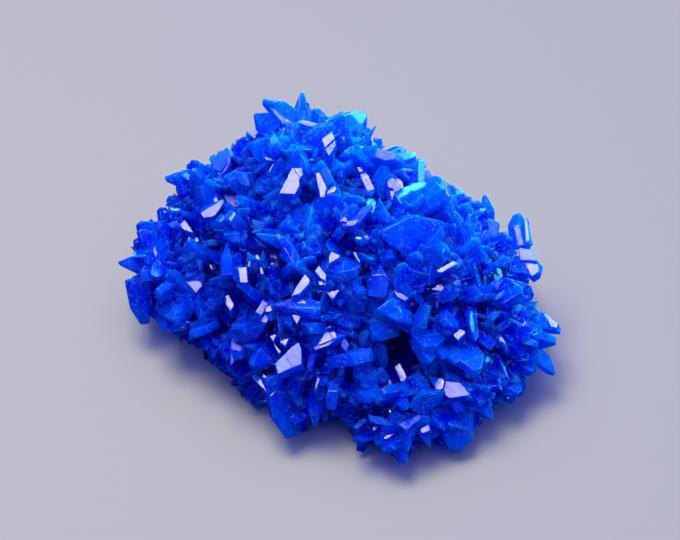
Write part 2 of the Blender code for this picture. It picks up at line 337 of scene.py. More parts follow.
    def sighted(self, seen: np.ndarray, view: ViewingPoint) -> tuple[np.ndarray, np.ndarray]:
        """Where lines of sight first meet the form.

        Args:
            seen: Places on the picture plane, right and up of the target.
            view: The viewing point.

        Returns:
            The points met, and the directions from them to the eye.
        """
        right, up, _ = view.axes()
        eye = view.eye()
        plane = np.array(view.target) + seen[:, :1] * right + seen[:, 1:2] * up
        sight = unit(plane - eye)
        steps = np.arange(view.distance - self.sight_half, view.distance + self.sight_half, self.sight_step)
        points = eye + steps[None, :, None] * sight[:, None, :]
        offsets = points - self.heart
        distance = np.linalg.norm(offsets, axis=2)
        outside = self.reach((offsets / distance[..., None]).reshape(-1, 3)).reshape(distance.shape)
        gaps = distance - outside
        met = np.where((gaps < 0.0).any(axis=1), (gaps < 0.0).argmax(axis=1), gaps.argmin(axis=1))
        return points[np.arange(len(seen)), met], -sight


def to_arrays(mesh: bmesh.types.BMesh, bevel: float) -> tuple[np.ndarray, ...]:
    """Takes the edges off a mesh, and reads it out and frees it.

    Args:
        mesh: The mesh.
        bevel: How far each edge is taken off.

    Returns:
        Corners, face loops, the number of corners of each face, which faces are bevels, and the
        material numbers of the faces.
    """
    if bevel:
        taken = bmesh.ops.bevel(
            mesh, geom=mesh.edges[:], offset=bevel, segments=1, affect="EDGES", clamp_overlap=True
        )
        for face in taken["faces"]:
            face.tag = True
    mesh.verts.index_update()
    corners = np.array([v.co for v in mesh.verts])
    loops = np.array([v.index for f in mesh.faces for v in f.verts])
    lengths = np.array([len(f.verts) for f in mesh.faces])
    edge = np.array([f.tag for f in mesh.faces])
    number = np.array([f.material_index for f in mesh.faces])
    mesh.free()
    return corners, loops, lengths, edge, number


HABIT_SEED = 1000
FACET_SEED = 7
TURN_SPREAD = 0.14
CUT_SPREAD = 0.07
SHORTEST_EDGE = 0.03
ACROSS_SLANT = 0.8
ALONG_SLANT = 0.3
LINES_APART = 97.0


class Habit(Enum):
    """Crystal habits, each a unit block cut by planes.

    The block is one wide, one thick and one long, from its root at 0 to its tip at 1. Each cut is
    a normal across, through and along the crystal, and keeps what is within its last number.
    """

    BLOCK = (
        (1.0, 1.0, 0.0, 0.74), (-1.0, -1.0, 0.0, 0.76), (0.75, 0.25, 1.0, 0.98), (-1.2, 0.1, 1.0, 1.22),
        (0.1, 1.3, 1.0, 1.26), (0.0, -1.5, 1.0, 1.42),
    )
    TABLET = (
        (1.5, 0.0, 1.0, 1.30), (-0.8, 0.1, 1.0, 1.04), (0.1, 2.2, 1.0, 1.80), (-0.1, -2.2, 1.0, 1.78),
        (1.0, 1.6, 0.0, 1.08), (-1.0, -1.6, 0.0, 1.05), (1.0, 0.0, -1.0, 0.36), (-1.0, 0.0, -1.0, 0.38),
    )
    PRISM = (
        (1.0, 1.0, 0.0, 0.70), (-1.0, -1.0, 0.0, 0.70), (1.0, -1.0, 0.0, 0.82), (-1.0, 1.0, 0.0, 0.84),
        (0.95, 0.1, 1.0, 0.96), (-1.3, 0.35, 1.0, 1.10), (0.1, -1.2, 1.0, 1.14),
    )
    WEDGE = (
        (0.1, 1.8, 1.0, 0.98), (0.0, -1.5, 1.0, 1.02), (1.6, 0.1, 1.0, 1.2), (-1.3, 0.0, 1.0, 1.26),
        (1.0, 1.2, 0.0, 0.86), (-1.0, -1.2, 0.0, 0.88),
    )
    SPIKE = (
        (1.9, 0.4, 1.0, 1.04), (-1.5, 0.2, 1.0, 1.0), (0.2, 1.8, 1.0, 1.08), (0.1, -1.6, 1.0, 1.04),
        (1.0, 1.0, 0.0, 0.7), (-1.0, -1.0, 0.0, 0.72), (1.0, -1.0, 0.0, 0.8), (-1.0, 1.0, 0.0, 0.8),
    )
    BLADE = (
        (1.9, 0.1, 1.0, 1.24), (-0.9, 0.0, 1.0, 1.02), (0.2, 2.4, 1.0, 1.86), (-0.1, -2.4, 1.0, 1.9),
        (1.0, 0.0, -0.8, 0.34), (-1.0, 0.0, -0.9, 0.36), (1.0, 1.8, 0.0, 1.12), (-1.0, -1.8, 0.0, 1.1),
    )

    def solid(self, variant: int, bevel: float) -> tuple[np.ndarray, np.ndarray, np.ndarray, np.ndarray]:
        """The cut block, its planes turned and moved a little for each variant.

        Args:
            variant: Which variant, from 0, which has the planes as they are listed.
            bevel: How far each edge is taken off, as a share of the block's side.

        Returns:
            Corners, face loops, the number of corners of each face, and which faces are bevels.
        """
        rng = np.random.default_rng(HABIT_SEED + variant)
        mesh = bmesh.new()
        bmesh.ops.create_cube(mesh, size=1.0)
        bmesh.ops.translate(mesh, verts=mesh.verts, vec=(0.0, 0.0, 0.5))
        for across, through, along, reach in self.value:
            turned = rng.uniform(-TURN_SPREAD, TURN_SPREAD, 3) * (variant > 0)
            normal = np.array([across, through, along]) + turned
            reach = reach * (1.0 + CUT_SPREAD * rng.uniform(-1.0, 1.0) * (variant > 0))
            place = normal * reach / (normal @ normal)
            whole = mesh.verts[:] + mesh.edges[:] + mesh.faces[:]
            cut = bmesh.ops.bisect_plane(
                mesh, geom=whole, plane_co=place.tolist(), plane_no=normal.tolist(), clear_outer=True
            )
            rim = [e for e in cut["geom_cut"] if isinstance(e, bmesh.types.BMEdge)]
            if rim:
                bmesh.ops.edgeloop_fill(mesh, edges=rim)
        bmesh.ops.dissolve_degenerate(mesh, edges=mesh.edges, dist=SHORTEST_EDGE)
        bmesh.ops.recalc_face_normals(mesh, faces=mesh.faces)
        return to_arrays(mesh, bevel)[:4]


@dataclass
class Crystals:
    """Many crystals, one a row.

    root is the foot of each crystal's axis, axis points to its tip, broad is its broad face's
    normal, size is length, width and thickness, and tone is a number from 0 to 1 for the tint, which
    for scattered crystals also holds painted light and shade by where they root.
    """

    root: np.ndarray
    axis: np.ndarray
    broad: np.ndarray
    size: np.ndarray
    tone: np.ndarray

    def some(self, chosen: np.ndarray) -> Crystals:
        """The crystals that an index or a mask picks."""
        return Crystals(*(getattr(self, f.name)[chosen] for f in fields(self)))

    def at(self, share: float) -> np.ndarray:
        """The points a share of the length up each crystal's axis."""
        return self.root + share * self.size[:, :1] * self.axis

    def solids(self, habit: Habit, variant: int, box: np.ndarray, bevel: float) -> list[bpy.types.Object]:
        """One closed mesh for each of these crystals.

        Each corner is the root plus the habit's corner, its three numbers scaled by the width,
        thickness and length along the crystal's own axes. A crystal that leaves the box is moved
        back into it whole.

        Args:
            habit: The habit.
            variant: The habit's variant.
            box: Lowest and highest corner of where crystals may be.
            bevel: How far each edge is taken off, as a share of the crystal's side.

        Returns:
            Objects in no collection, with surface coordinates in millimetres across and along the
            crystal, its tint and how far out it stands, which the finish paints as light and shade, as a
            second set of coordinates, and a number for each facet.
        """
        corners, loops, lengths, edge = habit.solid(variant, bevel)
        length, width, thickness = self.size.T
        sideways = np.cross(self.broad, self.axis)
        across = corners[None, :, 0] * width[:, None]
        through = corners[None, :, 1] * thickness[:, None]
        along = corners[None, :, 2] * length[:, None]
        points = (
            self.root[:, None, :]
            + across[..., None] * sideways[:, None, :]
            + through[..., None] * self.broad[:, None, :]
            + along[..., None] * self.axis[:, None, :]
        )
        points = points + np.maximum(box[0] - points.min(axis=1), 0.0)[:, None, :]
        points = points - np.maximum(points.max(axis=1) - box[1], 0.0)[:, None, :]
        flat = np.stack([across + ACROSS_SLANT * through, along + ALONG_SLANT * through], -1)
        flat = flat + LINES_APART * self.tone[:, None, None]
        tint = np.broadcast_to(self.tone[:, None], across.shape)
        tint_and_outwards = np.stack([tint, Form().outwards(points)], -1)
        plain = mesh_from("crystal", corners, loops, lengths)
        facet = np.random.default_rng(variant + FACET_SEED).random((len(points), len(lengths)))
        facet = np.where(edge[None, :], EDGE_MARK, facet)
        made = []
        for number in range(len(points)):
            mesh = plain.copy()
            mesh.vertices.foreach_set("co", (points[number] * MM).astype(np.float32).ravel())
            dress(mesh, flat[number, loops], tint_and_outwards[number, loops], facet[number])
            made.append(bpy.data.objects.new("crystal", mesh))
        return made


def mesh_from(name: str, points: np.ndarray, loops: np.ndarray, lengths: np.ndarray) -> bpy.types.Mesh:
    """A mesh from arrays.

    Args:
        name: Its name.
        points: Corners, one a row.
        loops: Corner numbers of all faces, one face after another.
        lengths: How many corners each face has.

    Returns:
        The mesh, flat-shaded.
    """
    mesh = bpy.data.meshes.new(name)
    mesh.vertices.add(len(points))
    mesh.vertices.foreach_set("co", points.astype(np.float32).ravel())
    mesh.loops.add(len(loops))
    mesh.loops.foreach_set("vertex_index", loops.astype(np.int32))
    mesh.polygons.add(len(lengths))
    starts = np.concatenate([[0], np.cumsum(lengths)[:-1]])
    mesh.polygons.foreach_set("loop_start", starts.astype(np.int32))
    mesh.polygons.foreach_set("loop_total", lengths.astype(np.int32))
    mesh.update(calc_edges=True)
    mesh.shade_flat()
    return mesh


def dress(mesh: bpy.types.Mesh, faces: np.ndarray, tint_and_outwards: np.ndarray, facet: np.ndarray) -> None:
    """Gives a mesh what its finish reads.

    Args:
        mesh: The mesh.
        faces: Millimetres across and along the crystal, for each face corner.
        tint_and_outwards: Tint and how far out it stands, for each face corner, which the finish turns into
            painted light and shade.
        facet: A number for each face, 0 to 1 for how dull it is, or a mark.
    """
    for name, values in (("faces", faces), ("tint_and_outwards", tint_and_outwards)):
        mesh.uv_layers.new(name=name).uv.foreach_set("vector", values.astype(np.float32).ravel())
    mesh.attributes.new("facet", "FLOAT", "FACE").data.foreach_set("value", facet.astype(np.float32))


def grown_together(first: bpy.types.Mesh, solids: list[bpy.types.Object]) -> bpy.types.Mesh:
    """Joins overlapping solids to one closed mesh.

    Args:
        first: The mesh that the others are joined to.
        solids: The others, which are used up.

    Returns:
        The joined mesh, with no faces left inside.
    """
    together = bpy.data.collections.new("together")
    for solid in solids:
        together.objects.link(solid)
    holder = bpy.data.objects.new("holder", first)
    bpy.context.scene.collection.objects.link(holder)
    join = holder.modifiers.new("join", "BOOLEAN")
    join.operation = "UNION"
    join.operand_type = "COLLECTION"
    join.collection = together
    join.solver = "MANIFOLD"
    graph = bpy.context.evaluated_depsgraph_get()
    joined = bpy.data.meshes.new_from_object(
        holder.evaluated_get(graph), preserve_all_data_layers=True, depsgraph=graph
    )
    bpy.data.objects.remove(holder)
    used = [solid.data for solid in solids]
    bpy.data.batch_remove([*solids, together])
    bpy.data.batch_remove(used)
    return joined


def make_piece(name: str, mesh: bpy.types.Mesh, material: bpy.types.Material) -> bpy.types.Object:
    """A piece that stands for the specimen's solid, dressed and riding on its body.

    Args:
        name: The piece's name.
        mesh: Its mesh.
        material: Its finish.

    Returns:
        The object.
    """
    mesh.materials.clear()
    mesh.materials.append(material)
    piece = bpy.data.objects.new(name, mesh)
    bpy.context.scene.collection.objects.link(piece)
    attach(piece, BODY)
    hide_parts(NODE)
    mesh.calc_loop_triangles()
    LOG.info("%s: %d faces, %d triangles", name, len(mesh.polygons), len(mesh.loop_triangles))
    return piece


def add_node(
    tree: bpy.types.NodeTree, kind: str, settings: dict | None = None, links: dict | None = None
) -> bpy.types.Node:
    """Adds a shader node.

    Args:
        tree: The node tree.
        kind: The node's type, without its prefix.
        settings: Properties by name, and input values by socket name or number.
        links: Output sockets by the name or number of the input that they feed.

    Returns:
        The node.
    """
    node = tree.nodes.new(f"ShaderNode{kind}")
    for key, value in (settings or {}).items():
        if isinstance(key, str) and hasattr(node, key) and key not in node.inputs:
            setattr(node, key, value)
        else:
            node.inputs[key].default_value = value
    for key, source in (links or {}).items():
        tree.links.new(source, node.inputs[key])
    return node


class Ramp(NamedTuple):
    """A range of values and the range it is carried to, held at both ends."""

    low: float
    high: float
    to_low: float = 0.0
    to_high: float = 1.0

    def settings(self) -> dict[str, float]:
        """The ramp as the settings of a Map Range node."""
        return {"From Min": self.low, "From Max": self.high, "To Min": self.to_low, "To Max": self.to_high}


Socket = bpy.types.NodeSocket
Tree = bpy.types.NodeTree


@dataclass(frozen=True)
class CrystalFinish:
    """Chalcanthite, a soft copper salt, as it grows: glassy faces over a clear to milky blue.

    To the eye, thick places are deep ultramarine and thin ones azure; the colour is also painted deeper
    towards the inside of the form and paler azure outwards, as painted shade and light. The gaps are painted
    nearly black as painted shade, and flat growth faces mirror the lamp. Cloudy veils and growth lines break
    the faces up, with pale edges that are a painted highlight and short pale strokes that are partly
    scratches and partly painted sparkle. Widths are in millimetres. The lines, the scratches and the ripple
    are finer on the real faces, and are drawn as coarse as they need to be to show.
    """

    name: str = "chalcanthite crystal, glassy growth faces over milky blue"
    deep: str = "0316DD"
    azure: str = "0799FC"
    # Painted highlight: the pale blue laid in patches on bevelled edges, where edges would catch the light.
    chip: str = "95CEFD"
    # Painted sparkle: the near-white of short pale strokes, partly scratches and partly tiny facets that
    # would catch the lamp.
    scratch: str = "E7F3FE"
    matrix: str = "3F3C27"
    # Painted shade: the near-black blue laid on the gaps between crystals, where shade falls.
    gap: str = "020A6F"
    clear: str = "00B3FD"
    ior: float = 1.53
    transmission: float = 0.55
    absorption_per_m: float = 120.0
    milk_reach: tuple[float, float, float] = (0.10, 1.0, 1.0)
    milk_depth_m: float = 0.004
    veil_mm: float = 2.38
    mottle_mm: float = 0.435
    ripple_mm: float = 0.3125
    drift_mm: float = 7.7
    line_mm: tuple[float, float] = (0.3125, 4.545)
    scratch_mm: tuple[float, float] = (0.357, 1.0)
    dullness: Ramp = Ramp(0.3, 1.0, 0.02, 0.18)
    chipped: Ramp = Ramp(0.42, 0.60, 0.0, 0.75)
    scratch_edge: Ramp = Ramp(0.14, 0.30, 1.0, 0.0)
    scratch_share: Ramp = Ramp(0.43, 0.63, 0.05, 0.90)
    # How much painted shade a place gets, by how far out it stands in the form.
    gap_depth: Ramp = Ramp(0.02, 0.15, 1.0, 0.0)
    # Painted light and shade: places that stand out get azure, places deep in the form the deep blue.
    azure_outwards: Ramp = Ramp(0.1, 1.0, -0.60, 0.45)
    azure_in_lines: Ramp = Ramp(0.56, 0.64, 0.0, 0.45)
    azure_in_mottle: Ramp = Ramp(0.36, 0.66, -0.22, 0.30)
    azure_in_veils: Ramp = Ramp(0.36, 0.66, -0.25, 0.45)
    line_relief: tuple[float, float] = (0.3, 0.0001)
    ripple_relief: tuple[float, float] = (0.5, 0.00004)
    scratch_relief: tuple[float, float] = (0.6, 0.0001)

    def material(self) -> bpy.types.Material:
        """Builds the material.

        Returns:
            The material, with its clearness, milk and absorption as plain values.
        """
        material = bpy.data.materials.new(self.name)
        material.use_nodes = True
        tree = material.node_tree
        shader = tree.nodes["Principled BSDF"]
        place = add_node(tree, "TexCoord").outputs["Object"]
        facet = add_node(tree, "Attribute", {"attribute_name": "facet"}).outputs["Fac"]
        lines = self.lines(tree)
        scratches = self.scratches(tree, place)
        rough = add_node(tree, "MapRange", self.dullness.settings(), {"Value": facet}).outputs[0]
        tree.links.new(self.colour(tree, place, facet, lines, scratches), shader.inputs["Base Color"])
        tree.links.new(rough, shader.inputs["Roughness"])
        tree.links.new(self.relief(tree, place, lines, scratches), shader.inputs["Normal"])
        shader.inputs["IOR"].default_value = self.ior
        shader.inputs["Transmission Weight"].default_value = self.transmission
        shader.inputs["Subsurface Weight"].default_value = 1.0
        shader.inputs["Subsurface Radius"].default_value = self.milk_reach
        shader.inputs["Subsurface Scale"].default_value = self.milk_depth_m
        clear = {"Color": linear(self.clear), "Density": self.absorption_per_m}
        volume = add_node(tree, "VolumeAbsorption", clear)
        tree.links.new(volume.outputs[0], tree.nodes["Material Output"].inputs["Volume"])
        return material

    def lines(self, tree: Tree) -> Socket:
        """Fine growth lines along the crystals, which come and go.

        Args:
            tree: The material's tree.

        Returns:
            A noise drawn out along the crystal, 0 to 1.
        """
        flat = add_node(tree, "UVMap", {"uv_map": "faces"}).outputs[0]
        scale = (1.0 / self.line_mm[0], 1.0 / self.line_mm[1], 1.0)
        drawn = add_node(tree, "Mapping", {"Scale": scale}, {0: flat}).outputs[0]
        return add_node(tree, "TexNoise", {"Scale": 1.0, "Detail": 3.0}, {0: drawn}).outputs[0]

    def scratches(self, tree: Tree, place: Socket) -> Socket:
        """Short pale strokes in drifts, along the crystals, about 0.15 mm wide and 0.45 mm long: partly
        scratches, partly painted sparkle where tiny facets would catch the lamp.

        Args:
            tree: The material's tree.
            place: Object coordinates.

        Returns:
            One on a scratch, 0 off it.
        """
        flat = add_node(tree, "UVMap", {"uv_map": "faces"}).outputs[0]
        scale = (1.0 / self.scratch_mm[0], 1.0 / self.scratch_mm[1], 1.0)
        drawn = add_node(tree, "Mapping", {"Scale": scale}, {0: flat}).outputs[0]
        cells = add_node(tree, "TexVoronoi", {"Scale": 1.0}, {0: drawn}).outputs
        near = {"Value": cells["Distance"]}
        stroke = add_node(tree, "MapRange", self.scratch_edge.settings(), near).outputs[0]
        drawn_lot = add_node(tree, "SeparateColor", {}, {0: cells["Color"]}).outputs[0]
        coarse = {"Scale": 1.0 / (self.drift_mm * MM), "Detail": 3.0}
        drift = add_node(tree, "TexNoise", coarse, {0: place}).outputs[0]
        many = add_node(tree, "MapRange", self.scratch_share.settings(), {"Value": drift}).outputs[0]
        below = {"operation": "LESS_THAN", "use_clamp": True}
        chosen = add_node(tree, "Math", below, {0: drawn_lot, 1: many}).outputs[0]
        both = {"operation": "MULTIPLY", "use_clamp": True}
        return add_node(tree, "Math", both, {0: stroke, 1: chosen}).outputs[0]

    def colour(self, tree: Tree, place: Socket, facet: Socket, lines: Socket, scratches: Socket) -> Socket:
        """The blue, painted deeper inwards as painted shade, with the painted edge highlight, the scratches
        with their painted sparkle, painted shade in the gaps and bare matrix laid over it.

        Args:
            tree: The material's tree.
            place: Object coordinates.
            facet: Each face's number or mark.
            lines: The growth lines.
            scratches: The scratches, whose pale colour is partly painted sparkle.

        Returns:
            The colour.
        """
        tint_and_outwards = add_node(tree, "UVMap", {"uv_map": "tint_and_outwards"}).outputs[0]
        tint, outwards, _ = add_node(tree, "SeparateXYZ", {}, {0: tint_and_outwards}).outputs
        cloudy = {"Scale": 1.0 / (self.veil_mm * MM), "Detail": 6.0, "Roughness": 0.62, "Distortion": 0.8}
        veils = add_node(tree, "TexNoise", cloudy, {0: place}).outputs[0]
        fine = {"Scale": 1.0 / (self.mottle_mm * MM), "Detail": 3.0, "Roughness": 0.6}
        mottle = add_node(tree, "TexNoise", fine, {0: place}).outputs[0]
        # The share of azure: painted light outwards and painted shade inwards, with the veils, lines and
        # mottle.
        share = tint
        steps = (
            (self.azure_outwards, outwards),
            (self.azure_in_lines, lines),
            (self.azure_in_mottle, mottle),
            (self.azure_in_veils, veils),
        )
        for ramp, value in steps:
            more = add_node(tree, "MapRange", ramp.settings(), {"Value": value}).outputs[0]
            share = add_node(tree, "Math", {"operation": "ADD"}, {0: share, 1: more}).outputs[0]
        blues = {"data_type": "RGBA", 6: linear(self.deep), 7: linear(self.azure)}
        colour = add_node(tree, "Mix", blues, {0: share}).outputs[2]
        # Painted highlight: pale patches along the bevelled edges.
        edge = self.marked(tree, facet, EDGE_MARK)
        patchy = add_node(tree, "MapRange", self.chipped.settings(), {"Value": veils}).outputs[0]
        both = {"operation": "MULTIPLY", "use_clamp": True}
        edge_highlights = add_node(tree, "Math", both, {0: edge, 1: patchy}).outputs[0]
        # Painted shade: places that stand deep in the form are laid over with the near-black gap colour.
        gaps = add_node(tree, "MapRange", self.gap_depth.settings(), {"Value": outwards}).outputs[0]
        bare = self.marked(tree, facet, MATRIX_MARK)
        over = ((edge_highlights, self.chip), (scratches, self.scratch), (gaps, self.gap), (bare, self.matrix))
        for laid, above in over:
            mixed = {"data_type": "RGBA", 7: linear(above)}
            colour = add_node(tree, "Mix", mixed, {0: laid, 6: colour}).outputs[2]
        return colour

    def marked(self, tree: Tree, facet: Socket, mark: float) -> Socket:
        """One on faces whose number is at least the mark, 0 on the others."""
        ramp = Ramp(mark - MARK_ROOM, mark - 0.8 * MARK_ROOM)
        return add_node(tree, "MapRange", ramp.settings(), {"Value": facet}).outputs[0]

    def relief(self, tree: Tree, place: Socket, lines: Socket, scratches: Socket) -> Socket:
        """Growth lines, a slight ripple and the scratches, one bump over the other.

        Args:
            tree: The material's tree.
            place: Object coordinates.
            lines: The growth lines.
            scratches: The scratch strokes, used here only as a bump.

        Returns:
            The bent normal.
        """
        small = {"Scale": 1.0 / (self.ripple_mm * MM), "Detail": 3.0}
        ripple = add_node(tree, "TexNoise", small, {0: place}).outputs[0]
        grooves = {"Strength": self.line_relief[0], "Distance": self.line_relief[1]}
        bent = add_node(tree, "Bump", grooves, {"Height": lines}).outputs[0]
        for (strength, height), value in ((self.ripple_relief, ripple), (self.scratch_relief, scratches)):
            settings = {"Strength": strength, "Distance": height}
            bent = add_node(tree, "Bump", settings, {"Height": value, "Normal": bent}).outputs[0]
        return bent


@dataclass(frozen=True)
class Hollow:
    """A gap between crystals, as it is seen: its middle and half sizes in frame pixels, its depth.

    matrix says whether the gap's floor is bare. The gap is only in what is nearer than backmost.
    """

    middle: tuple[float, float]
    half: tuple[float, float]
    depth: float
    matrix: bool = False
    backmost: float = -14.0

    def share(self, points: np.ndarray, view: ViewingPoint) -> np.ndarray:
        """How much of the hollow's depth each point gets: one inside its outline, none outside.

        Args:
            points: Points, one a row.
            view: The viewing point.

        Returns:
            One share for each point, which falls off as the exponential of minus the fourth power
            of how far it is from the middle, in half sizes.
        """
        seen = view.seen(points)
        middle = view.on_plane(np.array(self.middle))
        away = (seen[:, :2] - middle) / (np.array(self.half) / view.px_per_mm)
        return np.exp(-((away**2).sum(axis=1) ** 2)) * (seen[:, 2] > self.backmost)


HOLLOWS = (
    Hollow((409, 357), (13, 28), 11.0),
    Hollow((412, 334), (18, 7), 8.0),
    Hollow((232, 292), (16, 9), 4.5),
    Hollow((217, 322), (14, 9), 5.0, True),
    Hollow((203, 330), (9, 7), 4.0, True),
    Hollow((155, 306), (10, 5), 4.0, True),
    Hollow((168, 303), (8, 4), 4.0),
    Hollow((346, 420), (8, 14), 5.0),
    Hollow((352, 236), (18, 5), 3.0),
    Hollow((330, 226), (14, 5), 2.4),
    Hollow((248, 306), (10, 8), 3.5),
    Hollow((386, 352), (6, 8), 3.5),
    Hollow((420, 360), (8, 8), 3.5),
)


def sunk_depth(points: np.ndarray, view: ViewingPoint) -> np.ndarray:
    """How deep the hollows are at points: the deepest of them at each."""
    return np.max([h.depth * h.share(points, view) for h in HOLLOWS], axis=0)


# The specimen's outline in the frame, in pixels, clockwise from the top knob
OUTLINE = (
    (265, 94), (282, 94), (297, 101), (304, 97), (315, 104), (350, 110), (366, 117), (371, 128),
    (383, 147), (405, 149), (425, 163), (438, 167), (451, 184), (480, 202), (496, 207), (512, 219),
    (526, 219), (531, 245), (542, 270), (534, 283), (546, 309), (559, 330), (558, 345), (553, 371),
    (540, 378), (520, 398), (500, 405), (478, 420), (468, 450), (430, 446), (400, 466), (380, 461),
    (357, 451), (340, 427), (330, 426), (305, 421), (294, 438), (272, 418), (250, 416), (235, 396),
    (232, 381), (203, 359), (202, 345), (178, 343), (165, 331), (148, 315), (137, 323), (127, 306),
    (118, 263), (129, 242), (142, 219), (156, 204), (176, 186), (174, 167), (200, 147), (239, 127),
    (254, 119), (262, 105),
)


def within_outline(points: np.ndarray, view: ViewingPoint) -> np.ndarray:
    """Which points are seen inside the specimen's outline in the picture.

    A point is inside if a line from it to the right crosses an odd number of the outline's sides.

    Args:
        points: Points, one a row.
        view: The viewing point.

    Returns:
        True for each point inside.
    """
    seen = view.seen(points)
    corners = view.on_plane(np.array(OUTLINE, float))
    inside = np.zeros(len(points), bool)
    for (x1, y1), (x2, y2) in zip(corners, np.roll(corners, 1, axis=0)):
        level = (y1 > seen[:, 1]) != (y2 > seen[:, 1])
        crossing = x1 + (seen[:, 1] - y1) * (x2 - x1) / (y2 - y1 + TINY)
        inside ^= level & (seen[:, 0] < crossing)
    return inside


class Part(Enum):
    """The four parts that the specimen is grown in, each by the bearing of its middle."""

    BACK = (0.05, 0.62, 0.78)
    LEFT = (-0.88, 0.12, 0.45)
    FRONT = (-0.10, -0.80, 0.60)
    RIGHT = (0.88, -0.20, 0.42)

    def share(self, directions: np.ndarray) -> np.ndarray:
        """How far inside this part directions are.

        Args:
            directions: Unit directions from the heart, one a row.

        Returns:
            How much nearer each is to this part's middle than to the nearest other's, below zero
            outside the part.
        """
        middles = unit(np.array([part.value for part in Part]))
        nearness = directions @ middles.T
        own = list(Part).index(self)
        return nearness[:, own] - np.delete(nearness, own, axis=1).max(axis=1)

    def holds(self, points: np.ndarray) -> np.ndarray:
        """Which points are in this part."""
        return self.share(unit(points - np.array(Form.heart))) > 0.0


@dataclass
class Crust:
    """The granular skin under the crystals, sunk in the hollows, where some matrix shows.

    Across its part's border the crust falls away under the next part's.
    """

    form: Form
    view: ViewingPoint
    part: Part
    depth: float = 3.2
    fineness: int = 6
    grain: float = 0.35
    seed: int = 3
    bare_share: float = 0.4
    rim_step: float = 1e-3
    side_gap: float = 0.3
    overlap: float = 0.05
    fall: float = 1.1
    least: float = 0.25
    shrinks: int = 12
    shrink: float = 0.98
    tone: float = 0.1
    # The crust counts as standing deep in, so the finish paints it with the gaps' painted shade.
    outwards: float = 0.05
    dullness: tuple[float, float] = (0.4, 1.0)

    def build(self) -> bpy.types.Mesh:
        """The form's skin along the evenly spread directions of a ball's corners.

        Returns:
            The closed mesh, dressed, with the matrix mark on the floor of bare hollows.
        """
        mesh = self.ball()
        around = np.empty(len(mesh.vertices) * 3, np.float32)
        mesh.vertices.foreach_get("co", around)
        directions = unit(around.reshape(-1, 3).astype(float))
        rng = np.random.default_rng(self.seed)
        points = np.array(self.form.heart) + self.reach(directions, rng)[:, None] * directions
        mesh.vertices.foreach_set("co", (points * MM).astype(np.float32).ravel())
        mesh.update()
        mesh.shade_flat()
        loops = np.empty(len(mesh.loops), np.int32)
        mesh.loops.foreach_get("vertex_index", loops)
        outer = self.form.points(directions)
        bare = np.max([h.share(outer, self.view) * h.matrix for h in HOLLOWS], axis=0) > self.bare_share
        facet = rng.uniform(*self.dullness, len(mesh.polygons))
        facet = np.where(bare[loops.reshape(-1, 3)].all(axis=1), MATRIX_MARK, facet)
        tint_and_outwards = np.tile([self.tone, self.outwards], (len(loops), 1))
        dress(mesh, points[loops, :2], tint_and_outwards, facet)
        return mesh

    def ball(self) -> bpy.types.Mesh:
        """A ball of even triangles.

        Returns:
            The mesh, with a radius of one.
        """
        ball = bmesh.new()
        bmesh.ops.create_icosphere(ball, subdivisions=self.fineness, radius=1.0)
        mesh = bpy.data.meshes.new("crust")
        ball.to_mesh(mesh)
        ball.free()
        return mesh

    def reach(self, directions: np.ndarray, rng: np.random.Generator) -> np.ndarray:
        """How far the crust reaches from the heart.

        It is the form's reach less the crust's depth and the hollows', moved in or out by a random
        share of the grain, and below it is the flat underside itself. Then it falls away outside
        the part and is drawn in until it is seen inside the specimen's outline.

        Args:
            directions: Unit directions, one a row.
            rng: The repeatable draw.

        Returns:
            One distance for each direction.
        """
        form = self.form
        bottom = form.heart[2] / np.maximum(-directions[:, 2], SMALL)
        reach = form.reach(directions)
        sunk = sunk_depth(form.points(directions), self.view)
        inner = reach - self.depth - sunk + self.grain * rng.uniform(-1.0, 1.0, len(directions))
        under = (directions[:, 2] < 0.0) & (reach > bottom - self.rim_step)
        side = (directions[:, 2] < 0.0) & ~under
        reach = np.where(side, np.minimum(inner, bottom - self.side_gap), inner)
        reach = np.where(under, bottom, reach) * self.lobe(directions)
        for _ in range(self.shrinks):
            outside = ~within_outline(np.array(form.heart) + reach[:, None] * directions, self.view)
            reach = np.where(outside, self.shrink * reach, reach)
        return reach

    def lobe(self, directions: np.ndarray) -> np.ndarray:
        """What is left of the reach: all of it in the part, less and less outside it."""
        beyond = np.maximum(self.overlap - self.part.share(directions), 0.0)
        return np.maximum(1.0 - self.fall * beyond, self.least)


@dataclass(frozen=True)
class Seen:
    """One crystal as it is seen from the viewing point.

    seen is the middle of its broad face on the picture plane, turn the direction of its tip in
    the picture (0 right, 90 up), size its length, width and thickness, face how far the broad
    face is turned right and up from facing the viewer, and proud how far it stands off the form.
    """

    seen: tuple[float, float]
    turn: float
    size: tuple[float, float, float]
    face: tuple[float, float]
    proud: float
    habit: Habit
    tone: float


